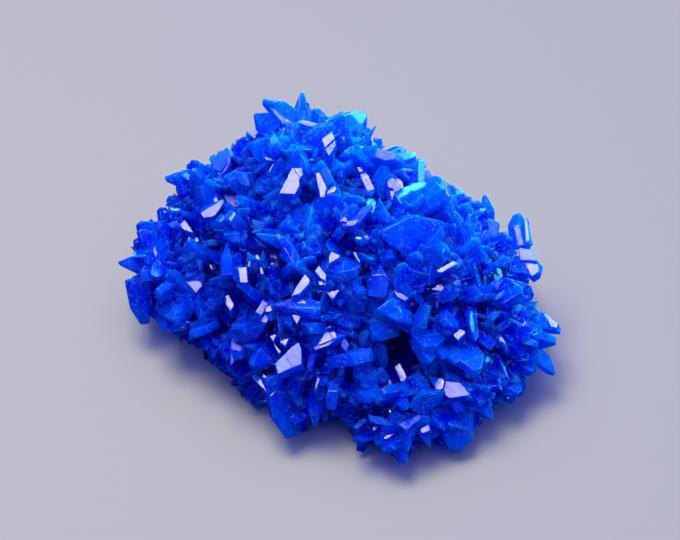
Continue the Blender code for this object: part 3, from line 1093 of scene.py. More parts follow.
BLOCK, TABLET, PRISM, WEDGE, SPIKE, BLADE = Habit
SEEN = (
    # Top knob
    Seen((-12.0, 35.6), 145, (9.0, 4.4, 2.0), (0, 30), 0.5, BLADE, 0.9),
    Seen((-7.6, 35.6), 80, (8.0, 3.6, 2.4), (5, 20), 0.5, BLADE, 0.9),
    Seen((-15.6, 33.2), 150, (7.0, 5.0, 3.0), (-10, 25), 0.5, BLOCK, 0.8),
    Seen((2.0, 33.0), 20, (10.0, 6.0, 3.4), (10, 35), 1.0, TABLET, 0.9),
    Seen((6.4, 29.8), 50, (7.0, 2.6, 1.8), (20, 10), 1.0, SPIKE, 0.8),
    Seen((7.4, 27.6), 15, (7.0, 2.8, 1.8), (20, 20), 1.0, SPIKE, 0.8),
    Seen((-3.4, 29.4), 35, (7.4, 5.2, 3.4), (6, -16), 1.4, TABLET, 0.6),
    Seen((-2.7, 20.8), 115, (7.5, 4.4, 4.2), (8, 28), 0.2, BLOCK, 0.5),
    Seen((5.2, 21.7), 115, (7.5, 2.0, 3.6), (-8, 18), 2.0, BLOCK, 0.3),
    Seen((11.7, 19.6), 100, (6.0, 3.8, 2.4), (-5, 18), 1.5, TABLET, 0.4),
    Seen((-3.1, 14.6), 200, (9.0, 5.0, 3.0), (5, -20), 1.2, TABLET, 0.3),
    # Upper right
    Seen((18.4, 17.6), 20, (12.0, 8.0, 5.0), (12, 34), 2.0, TABLET, 0.7),
    Seen((16.0, 9.0), 168, (13.0, 8.6, 2.6), (10, 2), 3.0, TABLET, 0.3),
    Seen((4.0, 13.5), 30, (7.5, 3.2, 2.2), (-10, 26), 1.6, BLADE, 0.3),
    Seen((31.2, 14.6), 95, (7.0, 3.0, 1.8), (15, 15), 0.8, BLADE, 0.8),
    Seen((38.6, 10.8), 100, (7.5, 3.4, 3.0), (30, 20), 0.5, BLOCK, 0.7),
    Seen((39.4, 3.1), 350, (7.0, 4.2, 3.0), (10, 28), 0.8, BLOCK, 0.5),
    # Left
    Seen((-24.2, 25.0), 70, (6.5, 3.8, 2.2), (-8, 22), 1.0, BLADE, 0.6),
    Seen((-33.0, 21.2), 172, (7.0, 3.2, 2.2), (-15, 20), 0.5, BLADE, 0.6),
    Seen((-37.4, 7.4), 70, (9.0, 5.0, 3.0), (-14, 12), 1.5, TABLET, 0.3),
    Seen((-43.0, 3.4), 172, (7.0, 3.4, 2.6), (-20, 15), 0.5, BLADE, 0.4),
    Seen((-41.2, -4.6), 278, (10.0, 5.4, 3.2), (-12, -6), 1.5, WEDGE, 0.2),
    Seen((-26.0, 15.0), 30, (5.5, 3.0, 2.4), (-4, 16), 1.8, BLADE, 0.3),
    Seen((-23.5, 4.8), 95, (8.0, 2.4, 2.0), (-10, 26), 2.0, BLOCK, 0.4),
    Seen((-30.4, -1.0), 40, (7.0, 4.0, 2.4), (-8, 4), 1.4, TABLET, 0.2),
    # Middle
    Seen((-10.4, 6.3), 120, (8.0, 2.6, 2.0), (4, 22), 1.6, BLADE, 0.2),
    Seen((-8.5, -5.0), 176, (9.5, 3.2, 2.8), (0, 34), 2.6, BLADE, 0.2),
    Seen((8.3, -0.2), 80, (6.5, 4.4, 3.0), (-12, 14), 1.8, TABLET, 0.2),
    Seen((11.3, -4.6), 80, (5.0, 2.6, 2.2), (4, -4), 1.6, TABLET, 0.5),
    # Front
    Seen((-2.1, -11.7), 20, (7.0, 3.8, 3.0), (-6, 18), 2.0, BLOCK, 0.2),
    Seen((-10.6, -26.4), 284, (14.0, 6.4, 3.4), (22, -4), 1.8, WEDGE, 0.25),
    Seen((-16.5, -25.6), 240, (7.0, 4.6, 3.4), (-10, -6), 0.8, TABLET, 0.2),
    Seen((-20.2, -22.6), 215, (6.0, 4.0, 3.0), (-16, 0), 0.6, BLOCK, 0.2),
    Seen((-4.4, -26.6), 262, (8.0, 3.6, 2.2), (4, -6), 1.0, BLADE, 0.2),
    Seen((1.4, -27.2), 290, (8.0, 4.4, 2.4), (8, -4), 0.8, BLADE, 0.2),
    # Right
    Seen((43.0, -8.6), 332, (7.5, 3.4, 2.4), (10, 26), 0.6, BLADE, 0.6),
    Seen((43.2, -16.6), 318, (7.0, 3.2, 2.6), (14, 20), 0.6, BLOCK, 0.6),
    # Nose
    Seen((24.8, -30.4), 266, (10.5, 7.0, 4.0), (8, -8), 1.0, BLOCK, 0.6),
    Seen((15.2, -29.6), 8, (8.0, 3.4, 2.4), (-8, -14), 1.0, WEDGE, 0.2),
    Seen((10.8, -31.2), 236, (7.6, 3.4, 1.8), (-6, -8), 0.6, BLADE, 0.3),
    Seen((14.4, -31.8), 262, (8.0, 3.6, 1.8), (0, -6), 0.8, BLADE, 0.3),
    Seen((18.0, -31.2), 288, (7.6, 3.4, 1.8), (8, -6), 0.8, BLADE, 0.3),
    Seen((30.4, -26.0), 300, (7.0, 4.0, 2.6), (12, 4), 0.6, BLADE, 0.4),
)


class Gloss(Enum):
    """How a facet that faces the lamp shines, by its facet number and its tilt off the lamp, degrees."""

    BRIGHT = (0.0, 0.0)
    LILAC = (0.55, 1.5)
    MAUVE = (0.85, 3.5)
    DIM = (1.0, 7.5)
    FAINT = (1.0, 11.0)


@dataclass(frozen=True)
class Facet:
    """A flat end of a crystal, turned to mirror the lamp, by its corners as they are seen.

    corners are frame pixels, in order round the facet. proud is how far it stands off the form,
    depth how long the crystal behind it is, and flare how much that widens.
    """

    corners: tuple[tuple[float, float], ...]
    gloss: Gloss
    proud: float
    depth: float = 3.6
    flare: float = 1.15
    tone: float = 0.25


BRIGHT, LILAC, MAUVE, DIM, FAINT = Gloss
FACETS = (
    # Top knob
    Facet(
        ((292, 167.5), (302, 168), (303, 175), (299, 180), (300, 185), (295, 194), (279, 193.5)),
        BRIGHT, 3.2,
    ),
    Facet(((315.5, 174), (319, 171), (327, 187), (324, 198), (320, 197)), LILAC, 4.0, tone=0.6),
    Facet(((319.5, 170.5), (327, 166.5), (334, 180), (327, 186.5)), FAINT, 4.2, tone=1.0),
    Facet(((327, 187), (334, 180.5), (337, 189.5), (321, 203), (320.5, 198)), BRIGHT, 3.8, tone=0.6),
    Facet(((321.5, 139), (332, 131), (335, 138), (325, 148)), BRIGHT, 2.6, tone=0.7),
    Facet(((325, 150), (335, 140), (336, 146), (329, 156)), MAUVE, 2.2, tone=0.5),
    Facet(((297, 122), (303, 119.5), (320, 124), (318, 127), (308, 126)), MAUVE, 1.8, tone=0.9),
    Facet(((264, 155.5), (275.5, 160.5), (266, 160)), LILAC, 1.6, tone=0.6),
    Facet(((246, 131), (259, 130), (254.5, 139)), MAUVE, 1.6, tone=0.8),
    Facet(((268, 98), (278, 99.5), (277, 102), (267, 100.5)), MAUVE, 1.2, tone=0.9),
    Facet(((272, 164), (275, 163), (271, 171), (268, 172)), MAUVE, 1.6),
    Facet(((374, 138), (381, 136.5), (381, 139), (375, 140)), LILAC, 1.0, tone=0.8),
    # Right of the top
    Facet(((356.5, 166), (360, 164.5), (367.5, 178.5), (367.5, 187.5), (365, 185)), BRIGHT, 1.8),
    Facet(
        ((387, 181), (393, 177), (399.5, 185), (400, 193), (394.5, 199), (393.5, 189), (388, 187.5)),
        MAUVE, 2.0,
    ),
    Facet(((396, 170), (402, 168.5), (409, 177), (404, 177)), MAUVE, 1.6, tone=0.5),
    Facet(((339, 221), (346, 216), (347, 222)), LILAC, 1.6),
    Facet(((346.5, 221), (360, 219.5), (354, 225.5), (347, 226)), MAUVE, 1.8),
    Facet(((355, 236.5), (362, 237), (361, 240), (355.5, 239)), BRIGHT, 1.8),
    Facet(((364, 236), (368, 234), (366, 240)), LILAC, 1.8),
    # Middle
    Facet(((331, 251.5), (340, 255), (340, 257), (328.5, 264), (329, 257)), LILAC, 1.8),
    Facet(((353, 252.5), (355.5, 252), (360.5, 262), (358.5, 262.5)), BRIGHT, 1.8),
    Facet(((314.5, 271), (319, 265.5), (326, 274.5), (325.5, 281), (320.5, 278)), LILAC, 2.2),
    Facet(((318, 281), (327, 281), (325.5, 285), (318.5, 285)), BRIGHT, 1.8, tone=0.6),
    Facet(((305, 273.5), (310, 280), (309, 283.5), (299.5, 294), (291, 296), (296.5, 286)), LILAC, 2.4),
    Facet(((326, 292), (340, 289.5), (332.5, 300)), LILAC, 2.0),
    Facet(((287.5, 308.5), (302.5, 314.5), (296.5, 324)), LILAC, 2.0),
    Facet(((286, 306.5), (304, 299.5), (307.5, 305.5), (289.5, 309)), MAUVE, 2.6),
    Facet(((263, 309), (270, 304.5), (272.5, 311), (266.5, 312)), LILAC, 1.8),
    Facet(((269.5, 336), (276.5, 333.5), (273.5, 342)), BRIGHT, 1.8),
    Facet(((273.5, 342), (281, 351.5), (279, 353.5), (274.5, 347)), BRIGHT, 1.8),
    Facet(((279, 341.5), (289.5, 337.5), (285.5, 346)), LILAC, 1.8),
    Facet(((275, 363.5), (290, 348.5), (298.5, 342), (301.5, 350), (301.5, 363.5), (278, 374)), MAUVE, 3.0),
    Facet(((317, 341), (334, 330.5), (337.5, 337.5), (319, 345)), LILAC, 2.2),
    Facet(((322.5, 329), (330.5, 325.5), (331, 327), (323.5, 330.5)), LILAC, 1.8),
    Facet(((343, 336), (349, 343), (347, 352), (341, 346)), DIM, 1.6),
    # Lower front
    Facet(((252, 377), (255, 373.5), (276, 390.5), (271, 397)), BRIGHT, 2.2),
    Facet(((264, 374), (270, 380), (268, 382), (262, 376.5)), LILAC, 1.6),
    Facet(((314, 389.5), (317, 377.5), (320, 378.5), (316.5, 389.5)), MAUVE, 1.6),
    Facet(((333.5, 379), (338, 376.5), (337.5, 380.5)), BRIGHT, 1.6),
    Facet(((352.5, 383), (357, 382.5), (355.5, 388)), BRIGHT, 1.6),
    Facet(((394.5, 367), (400, 362.5), (406.5, 377), (402.5, 385.5)), LILAC, 1.6),
    Facet(((388.5, 413), (390, 406.5), (391.5, 413)), LILAC, 1.4),
    Facet(((371.5, 430), (375, 424), (378, 427), (374.5, 430.5)), MAUVE, 1.4),
    Facet(((383.5, 437), (392.5, 431), (394, 434), (385.5, 440)), LILAC, 1.4),
    Facet(((368, 415), (382, 417), (394, 426), (380, 425), (370, 421)), FAINT, 1.4),
    Facet(((398, 424), (419, 414), (420, 419), (406, 430)), DIM, 1.4),
    # Left
    Facet(((238, 267.5), (247, 267), (248, 282.5), (240, 282.5)), LILAC, 2.0),
    Facet(((248, 261), (250.5, 260), (250, 266.5), (248, 266.5)), BRIGHT, 1.8),
    Facet(((254.5, 254.5), (258, 254.5), (260.5, 260), (256.5, 259.5)), BRIGHT, 1.8),
    Facet(((259.5, 266.5), (262, 267.5), (264, 274.5), (260.5, 274)), BRIGHT, 1.8),
    Facet(((225.5, 295.5), (229, 294.5), (234, 304.5), (230.5, 311.5), (226, 305)), LILAC, 2.4),
    Facet(((178.5, 225), (185, 219), (194, 233), (185.5, 230.5)), LILAC, 1.8),
    Facet(((202.5, 213), (213, 205), (214.5, 212), (209.5, 213.5)), MAUVE, 1.8),
    Facet(((213, 199), (216, 196.5), (219.5, 201), (215.5, 204)), LILAC, 1.6),
    Facet(((169.5, 208), (180, 208.5), (179, 210.5), (170, 210)), LILAC, 1.2, tone=0.6),
    Facet(((152.5, 250), (157.5, 239.5), (162, 240), (156, 258)), MAUVE, 1.4),
    Facet(((185, 280.5), (198.5, 279), (202.5, 285), (196, 293), (191, 287)), MAUVE, 1.8),
    Facet(((209, 265), (214.5, 262.5), (216, 267), (212, 270.5)), LILAC, 1.6),
    Facet(((213, 160), (221, 150), (230, 152.5), (228, 162), (221, 171), (213, 168)), FAINT, 1.4, tone=0.6),
    Facet(((232.5, 170), (248, 172.5), (249, 186), (241, 184)), FAINT, 1.4, tone=0.6),
    # Right
    Facet(((435.5, 270.5), (453.5, 261), (457.5, 263.5), (440.5, 273.5)), BRIGHT, 2.2),
    Facet(((452, 282), (459, 279), (461, 284), (455, 286)), DIM, 1.6),
    Facet(((453, 335), (460.5, 328.5), (466, 332.5), (458, 340.5)), BRIGHT, 1.8),
    Facet(((496, 337), (502.5, 338), (506, 344), (499, 340.5)), BRIGHT, 1.6),
    Facet(((375, 283), (385, 274), (388, 283), (379, 296)), DIM, 1.8),
    Facet(((393, 290), (403, 294), (409, 298), (405, 301), (397, 297)), MAUVE, 1.8),
    Facet(((427, 375.5), (445, 379), (443, 388.5), (437, 392.5), (435, 388)), LILAC, 2.2),
    Facet(((445.5, 381), (460.5, 383), (470, 395), (449, 398.5), (442, 392)), MAUVE, 1.8),
    Facet(((420, 429), (428, 424.5), (430.5, 430.5), (421.5, 433.5)), BRIGHT, 1.8),
    Facet(((524, 217.5), (527.5, 218), (529, 241), (526, 243.5)), BRIGHT, 1.2, tone=0.9),
    Facet(((517, 262), (539, 264.5), (538, 272.5), (532, 276.5)), LILAC, 1.0, tone=0.7),
    Facet(((519, 247), (534, 251), (537, 261), (520, 260)), MAUVE, 0.9, tone=0.8),
    Facet(((541, 309), (558, 323.5), (557, 328.5), (551, 327)), LILAC, 0.8, tone=0.8),
    Facet(((488, 218), (499, 222), (496, 238), (489, 232)), DIM, 1.4, tone=0.6),
)


@dataclass
class Facets:
    """The crystals whose ends are the listed facets.

    Each facet's tilt off the lamp is in a direction of its own, a turn on from the one before.
    Their other faces are dull by steps within a range.
    """

    form: Form
    view: ViewingPoint
    bevel: float = 0.1
    turn: float = 2.4
    dullness: tuple[float, float] = (0.3, 0.9)
    dullness_step: float = 0.37
    across_slant: float = 0.6
    along_slant: float = 0.3

    def frames(self) -> tuple[np.ndarray, np.ndarray, np.ndarray]:
        """Where the facets are.

        A facet that halves the angle between the eye and the lamp mirrors the lamp. Each one's
        normal does that, tilted off by what its gloss says.

        Returns:
            Each facet's middle, its outward normal, and its radius as it is seen.
        """
        middles = self.view.on_plane(np.array([np.mean(f.corners, axis=0) for f in FACETS]))
        met, to_eye = self.form.sighted(middles, self.view)
        middle = met + np.array([[f.proud] for f in FACETS]) * to_eye
        normal = unit(to_eye + unit(np.array(KEY_PLACE) - middle))
        tilt = np.radians([f.gloss.value[1] for f in FACETS])
        turn = self.turn * np.arange(len(FACETS))
        right, up, _ = self.view.axes()
        aside = np.cos(turn)[:, None] * right + np.sin(turn)[:, None] * up
        normal = unit(normal + np.tan(tilt)[:, None] * aside)
        radius = [np.ptp(f.corners, axis=0).max() * 0.5 / self.view.px_per_mm for f in FACETS]
        return middle, normal, np.array(radius)

    def solids(self, part: Part) -> list[bpy.types.Object]:
        """One crystal for each facet of a part.

        A facet's corners lie where lines of sight through the picture meet its plane. Behind it
        the crystal widens to a parallel outline at its depth.

        Args:
            part: The part.

        Returns:
            Closed objects in no collection.
        """
        eye = self.view.eye()
        right, up, _ = self.view.axes()
        made = []
        middles, normals, _ = self.frames()
        for facet, middle, normal, own in zip(FACETS, middles, normals, part.holds(middles)):
            if not own:
                continue
            plane = self.view.on_plane(np.array(facet.corners))
            sight = unit(np.array(self.view.target) + plane[:, :1] * right + plane[:, 1:] * up - eye)
            front = eye + sight * (((middle - eye) @ normal) / (sight @ normal))[:, None]
            heart = front.mean(axis=0)
            behind = heart + facet.flare * (front - heart) - facet.depth * normal
            made.append(self.solid(facet, front, behind))
        return made

    def solid(self, facet: Facet, front: np.ndarray, behind: np.ndarray) -> bpy.types.Object:
        """A bevelled solid between two parallel outlines.

        Args:
            facet: The facet.
            front: Its corners.
            behind: The corners of the outline behind it.

        Returns:
            A closed object in no collection, dressed.
        """
        mesh = bmesh.new()
        near, far = ([mesh.verts.new(point) for point in outline] for outline in (front, behind))
        mesh.faces.new(near).material_index = 1
        mesh.faces.new(far[::-1])
        count = len(front)
        for i in range(count):
            mesh.faces.new((near[i], far[i], far[(i + 1) % count], near[(i + 1) % count]))
        bmesh.ops.recalc_face_normals(mesh, faces=mesh.faces)
        points, loops, lengths, edge, number = to_arrays(mesh, self.bevel)
        low, high = self.dullness
        plain = low + (high - low) * ((self.dullness_step * np.arange(len(lengths))) % 1.0)
        marks = np.where(edge, EDGE_MARK, np.where(number == 1, facet.gloss.value[0], plain))
        across = points[:, 0] + self.across_slant * points[:, 1]
        along = points[:, 2] - self.along_slant * points[:, 1]
        tint_and_outwards = np.column_stack([np.full(len(points), facet.tone), self.form.outwards(points)])
        made = mesh_from("crystal", points * MM, loops, lengths)
        dress(made, np.column_stack([across, along])[loops], tint_and_outwards[loops], marks)
        return bpy.data.objects.new("crystal", made)


@dataclass
class LargeCrystals:
    """The crystals that stand out to the eye, each placed as it is seen."""

    form: Form
    view: ViewingPoint
    box: np.ndarray
    part: Part
    variants: int = 3
    bevel: float = 0.02

    def solids(self) -> list[bpy.types.Object]:
        """All the listed crystals of the part, the variants of each habit in turn.

        Returns:
            Closed objects in no collection.
        """
        made = []
        for habit in Habit:
            for variant in range(self.variants):
                chosen = [c for n, c in enumerate(SEEN) if c.habit is habit and n % self.variants == variant]
                if chosen:
                    placed = self.crystals(chosen)
                    own = placed.some(self.part.holds(placed.root))
                    made += own.solids(habit, variant, self.box, self.bevel)
        return made

    def crystals(self, chosen: list[Seen]) -> Crystals:
        """Stands crystals on the lines of sight through their places in the picture.

        A broad face's normal is worked out from its two turns off the viewer, and the tip's
        direction is the one in that face that is seen at the given turn.

        Args:
            chosen: Crystals as they are seen.

        Returns:
            The crystals in space.
        """
        right, up, back = self.view.axes()
        met, to_eye = self.form.sighted(np.array([c.seen for c in chosen]), self.view)
        face = np.radians([c.face for c in chosen])
        turn = np.radians([c.turn for c in chosen])
        size = np.array([c.size for c in chosen])
        broad = (
            (np.sin(face[:, 0]) * np.cos(face[:, 1]))[:, None] * right
            + np.sin(face[:, 1])[:, None] * up
            + (np.cos(face[:, 0]) * np.cos(face[:, 1]))[:, None] * back
        )
        tip = np.cos(turn)[:, None] * right + np.sin(turn)[:, None] * up
        tip = unit(tip - ((tip * broad).sum(axis=1) / (broad @ back))[:, None] * back)
        middle = met + np.array([[c.proud] for c in chosen]) * to_eye
        root = middle - 0.5 * size[:, :1] * tip - 0.5 * size[:, 2:] * broad
        return Crystals(root, tip, broad, size, np.array([c.tone for c in chosen]))


@dataclass(frozen=True)
class PaintedLightTints:
    """How azure scattered crystals are, from where they root: painted light makes them paler azure higher up
    and towards the right rim, where the lamps behind and beside light them, and painted shade makes them
    deeper towards the left.

    Each of height, rim and left is where it starts, how far on it is full, and what it adds. The
    share of height is squared. spread is the random part.
    """

    base: float = 0.06
    height: tuple[float, float, float] = (6.0, 38.0, 0.78)
    rim: tuple[float, float, float] = (32.0, 9.0, 0.80)
    left: tuple[float, float, float] = (22.0, 14.0, -0.14)
    spread: float = 0.16

    def tones(self, root: np.ndarray, rng: np.random.Generator) -> np.ndarray:
        """One tint for each crystal.

        Args:
            root: Where the crystals root.
            rng: The repeatable draw.

        Returns:
            Numbers from 0 to 1.
        """
        # Painted light: height and the right rim add azure, and the left takes some away as painted shade.
        places = (root[:, 2], root[:, 0], -root[:, 0])
        height, rim, left = (
            np.clip((place - start) / span, 0.0, 1.0)
            for place, (start, span, _) in zip(places, (self.height, self.rim, self.left))
        )
        tone = self.base + self.height[2] * height**2 + self.rim[2] * rim + self.left[2] * left
        return np.clip(tone + self.spread * rng.normal(size=len(root)), 0.0, 1.0)


@dataclass(frozen=True)
class Coat:
    """Scattered crystals of one size: how many, how large, how deep they root, how far they lean.

    companions is how many parallel ones stand by each. shares are those of the habits, in order.
    lowest is the sine of the lowest rise that gets any. A crystal roots deeper by hollow_share of
    a hollow's depth, and is left out in hollows deeper than most_sunk, or than most_sunk_wide if
    it is wider than wide.
    """

    sprays: int
    in_spray: int
    length: tuple[float, float]
    width: tuple[float, float]
    thickness: tuple[float, float]
    depth: tuple[float, float]
    lean: float
    seed: int
    shares: tuple[float, ...]
    companions: int = 0
    bevel: float = 0.0
    variants: int = 4
    lowest: float = -0.3
    most_small: tuple[float, float] = (1.5, 2.6)
    size_spread: float = 0.25
    root_spread: float = 0.3
    hollow_share: float = 0.8
    wide: float = 2.4
    most_sunk_wide: float = 1.6
    most_sunk: float = 3.0


COATS = (
    Coat(
        sprays=470, in_spray=4, length=(5.0, 9.5), width=(2.8, 6.6), thickness=(1.0, 3.4), depth=(4.2, 6.2),
        lean=0.66, seed=11, shares=(0.1, 0.24, 0.14, 0.2, 0.12, 0.2), companions=1, bevel=0.022,
    ),
    Coat(
        sprays=700, in_spray=2, length=(3.2, 6.4), width=(1.5, 3.4), thickness=(0.5, 1.6), depth=(3.6, 5.0),
        lean=0.75, seed=12, shares=(0.02, 0.16, 0.14, 0.28, 0.20, 0.20),
    ),
    Coat(
        sprays=700, in_spray=1, length=(1.6, 3.6), width=(0.5, 1.2), thickness=(0.3, 0.7), depth=(1.2, 3.2),
        lean=1.1, seed=13, shares=(0.0, 0.1, 0.2, 0.3, 0.2, 0.2),
    ),
)


@dataclass
class ScatteredCrystals:
    """One coat of crystals grown all over the form, in sprays from shared roots.

    A crystal's companion is parallel to it and set a little aside, as parallel growth leaves it.
    aside, through, back and smaller are ranges of shares of the crystal's own sizes.
    A crystal is left out if it would stand in front of a listed facet, in a hollow or outside the
    specimen's outline as it is seen.
    """

    form: Form
    view: ViewingPoint
    facets: Facets
    box: np.ndarray
    part: Part
    coat: Coat
    heights_tested: tuple[float, ...] = (0.4, 0.7, 1.0)
    middle: float = 0.6
    clearance: float = 0.25
    behind: float = 1.0
    aside: tuple[float, float] = (0.25, 0.6)
    through: tuple[float, float] = (0.2, 0.7)
    back: tuple[float, float] = (-0.1, 0.2)
    smaller: tuple[float, float] = (0.45, 0.85)

    def solids(self) -> list[bpy.types.Object]:
        """Grows the sprays.

        Returns:
            Closed objects in no collection, of the crystals that the part holds.
        """
        coat = self.coat
        rng = np.random.default_rng(coat.seed)
        first, sunk = self.first(rng)
        count = len(first.root)
        groups = [first] + [self.companion(first, rng) for _ in range(coat.companions)]
        habit = rng.choice(len(Habit), count, p=coat.shares)
        sunk = np.maximum(sunk, sunk_depth(first.at(1.0), self.view))
        clear = sunk <= np.where(first.size[:, 1] > coat.wide, coat.most_sunk_wide, coat.most_sunk)
        variant = rng.integers(0, coat.variants, count)
        made = []
        for group in groups:
            free = clear & self.part.holds(first.root) & ~self.hides(group)
            free &= within_outline(group.at(1.0), self.view)
            free &= within_outline(group.at(self.middle), self.view)
            for number, kind in enumerate(Habit):
                for turned in range(coat.variants):
                    own = (habit == number) & (variant == turned) & free
                    made += group.some(own).solids(kind, turned, self.box, coat.bevel)
        return made

    def first(self, rng: np.random.Generator) -> tuple[Crystals, np.ndarray]:
        """The sprays' own crystals, before any is left out.

        Each leans off the form's normal by a random step along the form, and each of its three
        sizes is drawn round one share of the way through the coat's ranges.

        Args:
            rng: The repeatable draw.

        Returns:
            The crystals, and how deep the hollows are at their roots.
        """
        coat = self.coat
        directions = self.form.scatter(coat.sprays, coat.lowest, rng)
        directions = np.repeat(directions, coat.in_spray, axis=0)
        count = len(directions)
        normals = self.form.normals(directions)
        lean = coat.lean * rng.normal(size=(count, 3))
        axis = unit(normals + lean - (lean * normals).sum(axis=1, keepdims=True) * normals)
        broad = unit(np.cross(axis, rng.normal(size=(count, 3))))
        scale = rng.beta(*coat.most_small, count)
        spans = (coat.length, coat.width, coat.thickness)
        spread = coat.size_spread
        mixed = [np.clip(scale + rng.uniform(-spread, spread, count), 0.0, 1.0) for _ in spans]
        size = np.column_stack([low + (high - low) * m for (low, high), m in zip(spans, mixed)])
        depth = rng.uniform(*coat.depth, count)
        sunk = sunk_depth(self.form.points(directions), self.view)
        root = self.form.points(directions, depth + coat.hollow_share * sunk)
        root = root + rng.normal(size=(count, 3)) * coat.root_spread * size[:, 1:2]
        # The tints hold painted light and shade by where the crystals root.
        return Crystals(root, axis, broad, size, PaintedLightTints().tones(root, rng)), sunk

    def hides(self, group: Crystals) -> np.ndarray:
        """Which crystals stand in front of a listed facet.

        Args:
            group: The crystals, tested at a few heights up each.

        Returns:
            True for each that does.
        """
        middles, _, radii = self.facets.frames()
        kept_clear = self.view.seen(middles)
        hidden = np.zeros(len(group.root), bool)
        for share in self.heights_tested:
            seen = self.view.seen(group.at(share))
            away = np.linalg.norm(seen[:, None, :2] - kept_clear[None, :, :2], axis=2)
            nearer = seen[:, None, 2] > kept_clear[None, :, 2] - self.behind
            near = away < radii[None, :] + self.clearance * group.size[:, 1:2]
            hidden |= (near & nearer).any(axis=1)
        return hidden

    def companion(self, first: Crystals, rng: np.random.Generator) -> Crystals:
        """A smaller crystal parallel to each, set aside along its width and thickness.

        Args:
            first: The crystals.
            rng: The repeatable draw, of shares of each crystal's own sizes.

        Returns:
            As many companions.
        """
        count = len(first.root)
        length, width, thickness = first.size.T
        sideways = np.cross(first.broad, first.axis)
        aside = rng.choice([-1.0, 1.0], count) * rng.uniform(*self.aside, count) * width
        through = rng.choice([-1.0, 1.0], count) * rng.uniform(*self.through, count) * thickness
        back = rng.uniform(*self.back, count) * length
        root = (
            first.root
            + aside[:, None] * sideways
            + through[:, None] * first.broad
            + back[:, None] * first.axis
        )
        size = first.size * rng.uniform(*self.smaller, (count, 3))
        return Crystals(root, first.axis, first.broad, size, first.tone)


@dataclass
class Specimen:
    """The whole cluster, which is one solid, grown in parts that run into each other."""

    form: Form
    view: ViewingPoint
    box: np.ndarray

    def build(self) -> list[bpy.types.Object]:
        """Grows all the parts.

        Returns:
            One piece for each part.
        """
        finish = CrystalFinish().material()
        facets = Facets(self.form, self.view)
        return [self.grow(part, facets, finish) for part in Part]

    def grow(self, part: Part, facets: Facets, finish: bpy.types.Material) -> bpy.types.Object:
        """Joins the crystals of one part to its crust.

        Args:
            part: The part.
            facets: The listed facets.
            finish: The crystals' finish.

        Returns:
            The piece.
        """
        started = time.time()
        solids = LargeCrystals(self.form, self.view, self.box, part).solids() + facets.solids(part)
        for coat in COATS:
            solids += ScatteredCrystals(self.form, self.view, facets, self.box, part, coat).solids()
        count = len(solids)
        mesh = grown_together(Crust(self.form, self.view, part).build(), solids)
        name = f"{part.name.lower()}_crystals"
        LOG.info("%s: %d crystals joined in %.1f s", name, count, time.time() - started)
        return make_piece(name, mesh, finish)


class Reach(Enum):
    """What a lamp acts on: everything, only what is mirrored, or only what is scattered."""

    ALL = (True, True)
    REFLECTED = (False, True)
    SCATTERED = (True, False)


@dataclass(frozen=True)
class Lamp:
    """A square soft light aimed at the specimen: its place, its side, its radiance, its colour.

    tint is linear red, green and blue.
    """

    name: str
    place: tuple[float, float, float]
    side: float
    radiance: float
    tint: tuple[float, float, float]
    reach: Reach = Reach.ALL
    aim: tuple[float, float, float] = (0.0, 0.0, 20.0)

    def build(self, lit: list[bpy.types.Object]) -> bpy.types.Object:
        """Makes the light. Its power is its radiance times pi times its area.

        Args:
            lit: The only objects that it lights.

        Returns:
            The light.
        """
        data = bpy.data.lights.new(self.name, "AREA")
        data.shape = "SQUARE"
        data.size = self.side * MM
        data.energy = self.radiance * math.pi * (self.side * MM) ** 2
        data.color = self.tint
        light = bpy.data.objects.new(self.name, data)
        place = np.array(self.place)
        back = unit(place - self.aim)
        level = unit(np.cross([0.0, 1.0, 0.1], back))
        turned = np.eye(4)
        turned[:3, :] = np.column_stack([level, np.cross(back, level), back, place * MM])
        light.matrix_world = turned.T.tolist()
        bpy.context.scene.collection.objects.link(light)
        group = bpy.data.collections.new(f"lit by {self.name}")
        for thing in lit:
            group.objects.link(thing)
        light.light_linking.receiver_collection = group
        light.visible_diffuse, light.visible_glossy = self.reach.value
        return light


@dataclass(frozen=True)
class FloorFinish:
    """Matt painted board: pale and without gloss, so that it only takes the soft shadow.

    Light that it throws back on the specimen is dim and blue, as a dark room's is.
    """

    name: str = "pale painted board, matt"
    seen: str = "DADBDE"
    thrown_back: str = "193FB3"
    roughness: float = 0.9

    def material(self) -> bpy.types.Material:
        """Builds the material.

        Returns:
            The material.
        """
        material = bpy.data.materials.new(self.name)
        material.use_nodes = True
        shader = material.node_tree.nodes["Principled BSDF"]
        colour = seen_or_not(material.node_tree, self.thrown_back, self.seen)
        material.node_tree.links.new(colour, shader.inputs["Base Color"])
        shader.inputs["Roughness"].default_value = self.roughness
        shader.inputs["Specular IOR Level"].default_value = 0.0
        return material


def seen_or_not(tree: Tree, unseen: str, seen: str) -> Socket:
    """One colour for what the camera sees, and another for what lights and reflections meet.

    Args:
        tree: The node tree.
        unseen: The colour that lights and reflections meet.
        seen: The colour that the camera sees.

    Returns:
        The colour.
    """
    path = add_node(tree, "LightPath").outputs["Is Camera Ray"]
    either = {"data_type": "RGBA", 6: linear(unseen), 7: linear(seen)}
    return add_node(tree, "Mix", either, {0: path}).outputs[2]


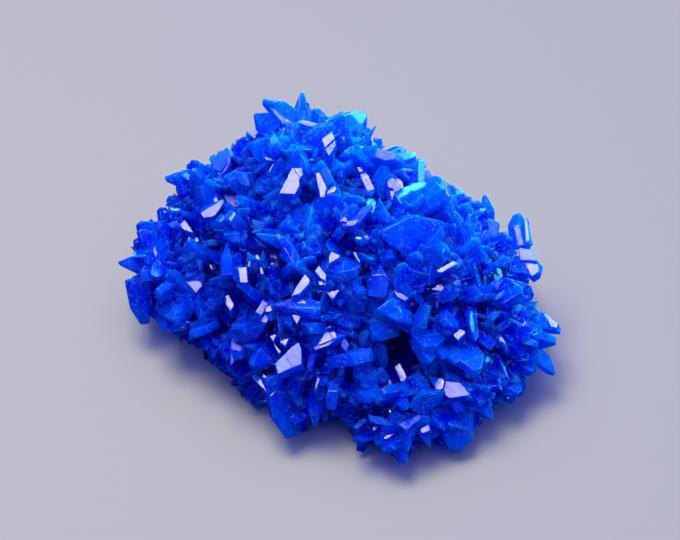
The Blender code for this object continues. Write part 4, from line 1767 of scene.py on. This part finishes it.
@dataclass
class Studio:
    """Pale floor and soft lights.

    The specimen's lamps are cool, so that its faces keep the deep blue. The floor has warm lamps
    of its own, which with the room's blue light leave it a neutral grey near the specimen. What
    reflections meet is a dim room, as round a black backdrop.
    """

    room: str = "2745AD"
    pale: str = "DDDFE5"
    floor_half: float = 3000.0
    on_specimen: tuple[Lamp, ...] = (
        Lamp("glint", KEY_PLACE, 200.0, 34.0, (0.42, 0.38, 0.95), Reach.REFLECTED),
        Lamp("soft", (60.0, 20.0, 1120.0), 1300.0, 7.7, (0.065, 0.25, 1.0), Reach.SCATTERED),
        Lamp("behind", (160.0, 620.0, 400.0), 340.0, 20.0, (0.10, 0.72, 1.0)),
        Lamp("beside", (620.0, 220.0, 220.0), 300.0, 14.0, (0.10, 0.72, 1.0)),
    )
    on_floor: tuple[Lamp, ...] = (
        Lamp("floor key", KEY_PLACE, 300.0, 9.0, (1.0, 0.93, 0.60)),
        Lamp("floor soft", (-100.0, 0.0, 1500.0), 1900.0, 0.75, (1.0, 0.93, 0.60)),
    )

    def build(self, specimen: list[bpy.types.Object]) -> None:
        """Makes the floor, the lights and the surroundings.

        Args:
            specimen: The specimen's pieces.
        """
        floor = self.floor()
        for lamp in self.on_specimen:
            lamp.build(specimen)
        for lamp in self.on_floor:
            lamp.build([floor])
        world = bpy.data.worlds.new("studio")
        world.use_nodes = True
        ground = world.node_tree.nodes["Background"]
        world.node_tree.links.new(seen_or_not(world.node_tree, self.room, self.pale), ground.inputs[0])
        bpy.context.scene.world = world
        bpy.context.scene.view_settings.view_transform = "Standard"

    def floor(self) -> bpy.types.Object:
        """A wide plain floor at height zero.

        Returns:
            The floor.
        """
        mesh = bpy.data.meshes.new("floor")
        half = self.floor_half * MM
        corners = [(-half, -half, 0), (half, -half, 0), (half, half, 0), (-half, half, 0)]
        mesh.from_pydata(corners, [], [(0, 1, 2, 3)])
        mesh.materials.append(FloorFinish().material())
        floor = bpy.data.objects.new("floor", mesh)
        bpy.context.scene.collection.objects.link(floor)
        floor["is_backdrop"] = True
        return floor


def main() -> None:
    """Builds the specimen and its studio.

    Crystals may stand a little past the solid's box, but not below the underside.
    """
    logging.basicConfig(level=logging.INFO, format="%(message)s")
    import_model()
    solid_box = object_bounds()
    view = ViewingPoint()
    view.camera()
    past_the_box = [[-0.6, -0.6, 0.05], [0.6, 0.6, 0.6]]
    box = np.array(solid_box) / MM + past_the_box
    pieces = Specimen(Form(), view, box).build()
    Studio().build(pieces)


if __name__ == "__main__":
    main()
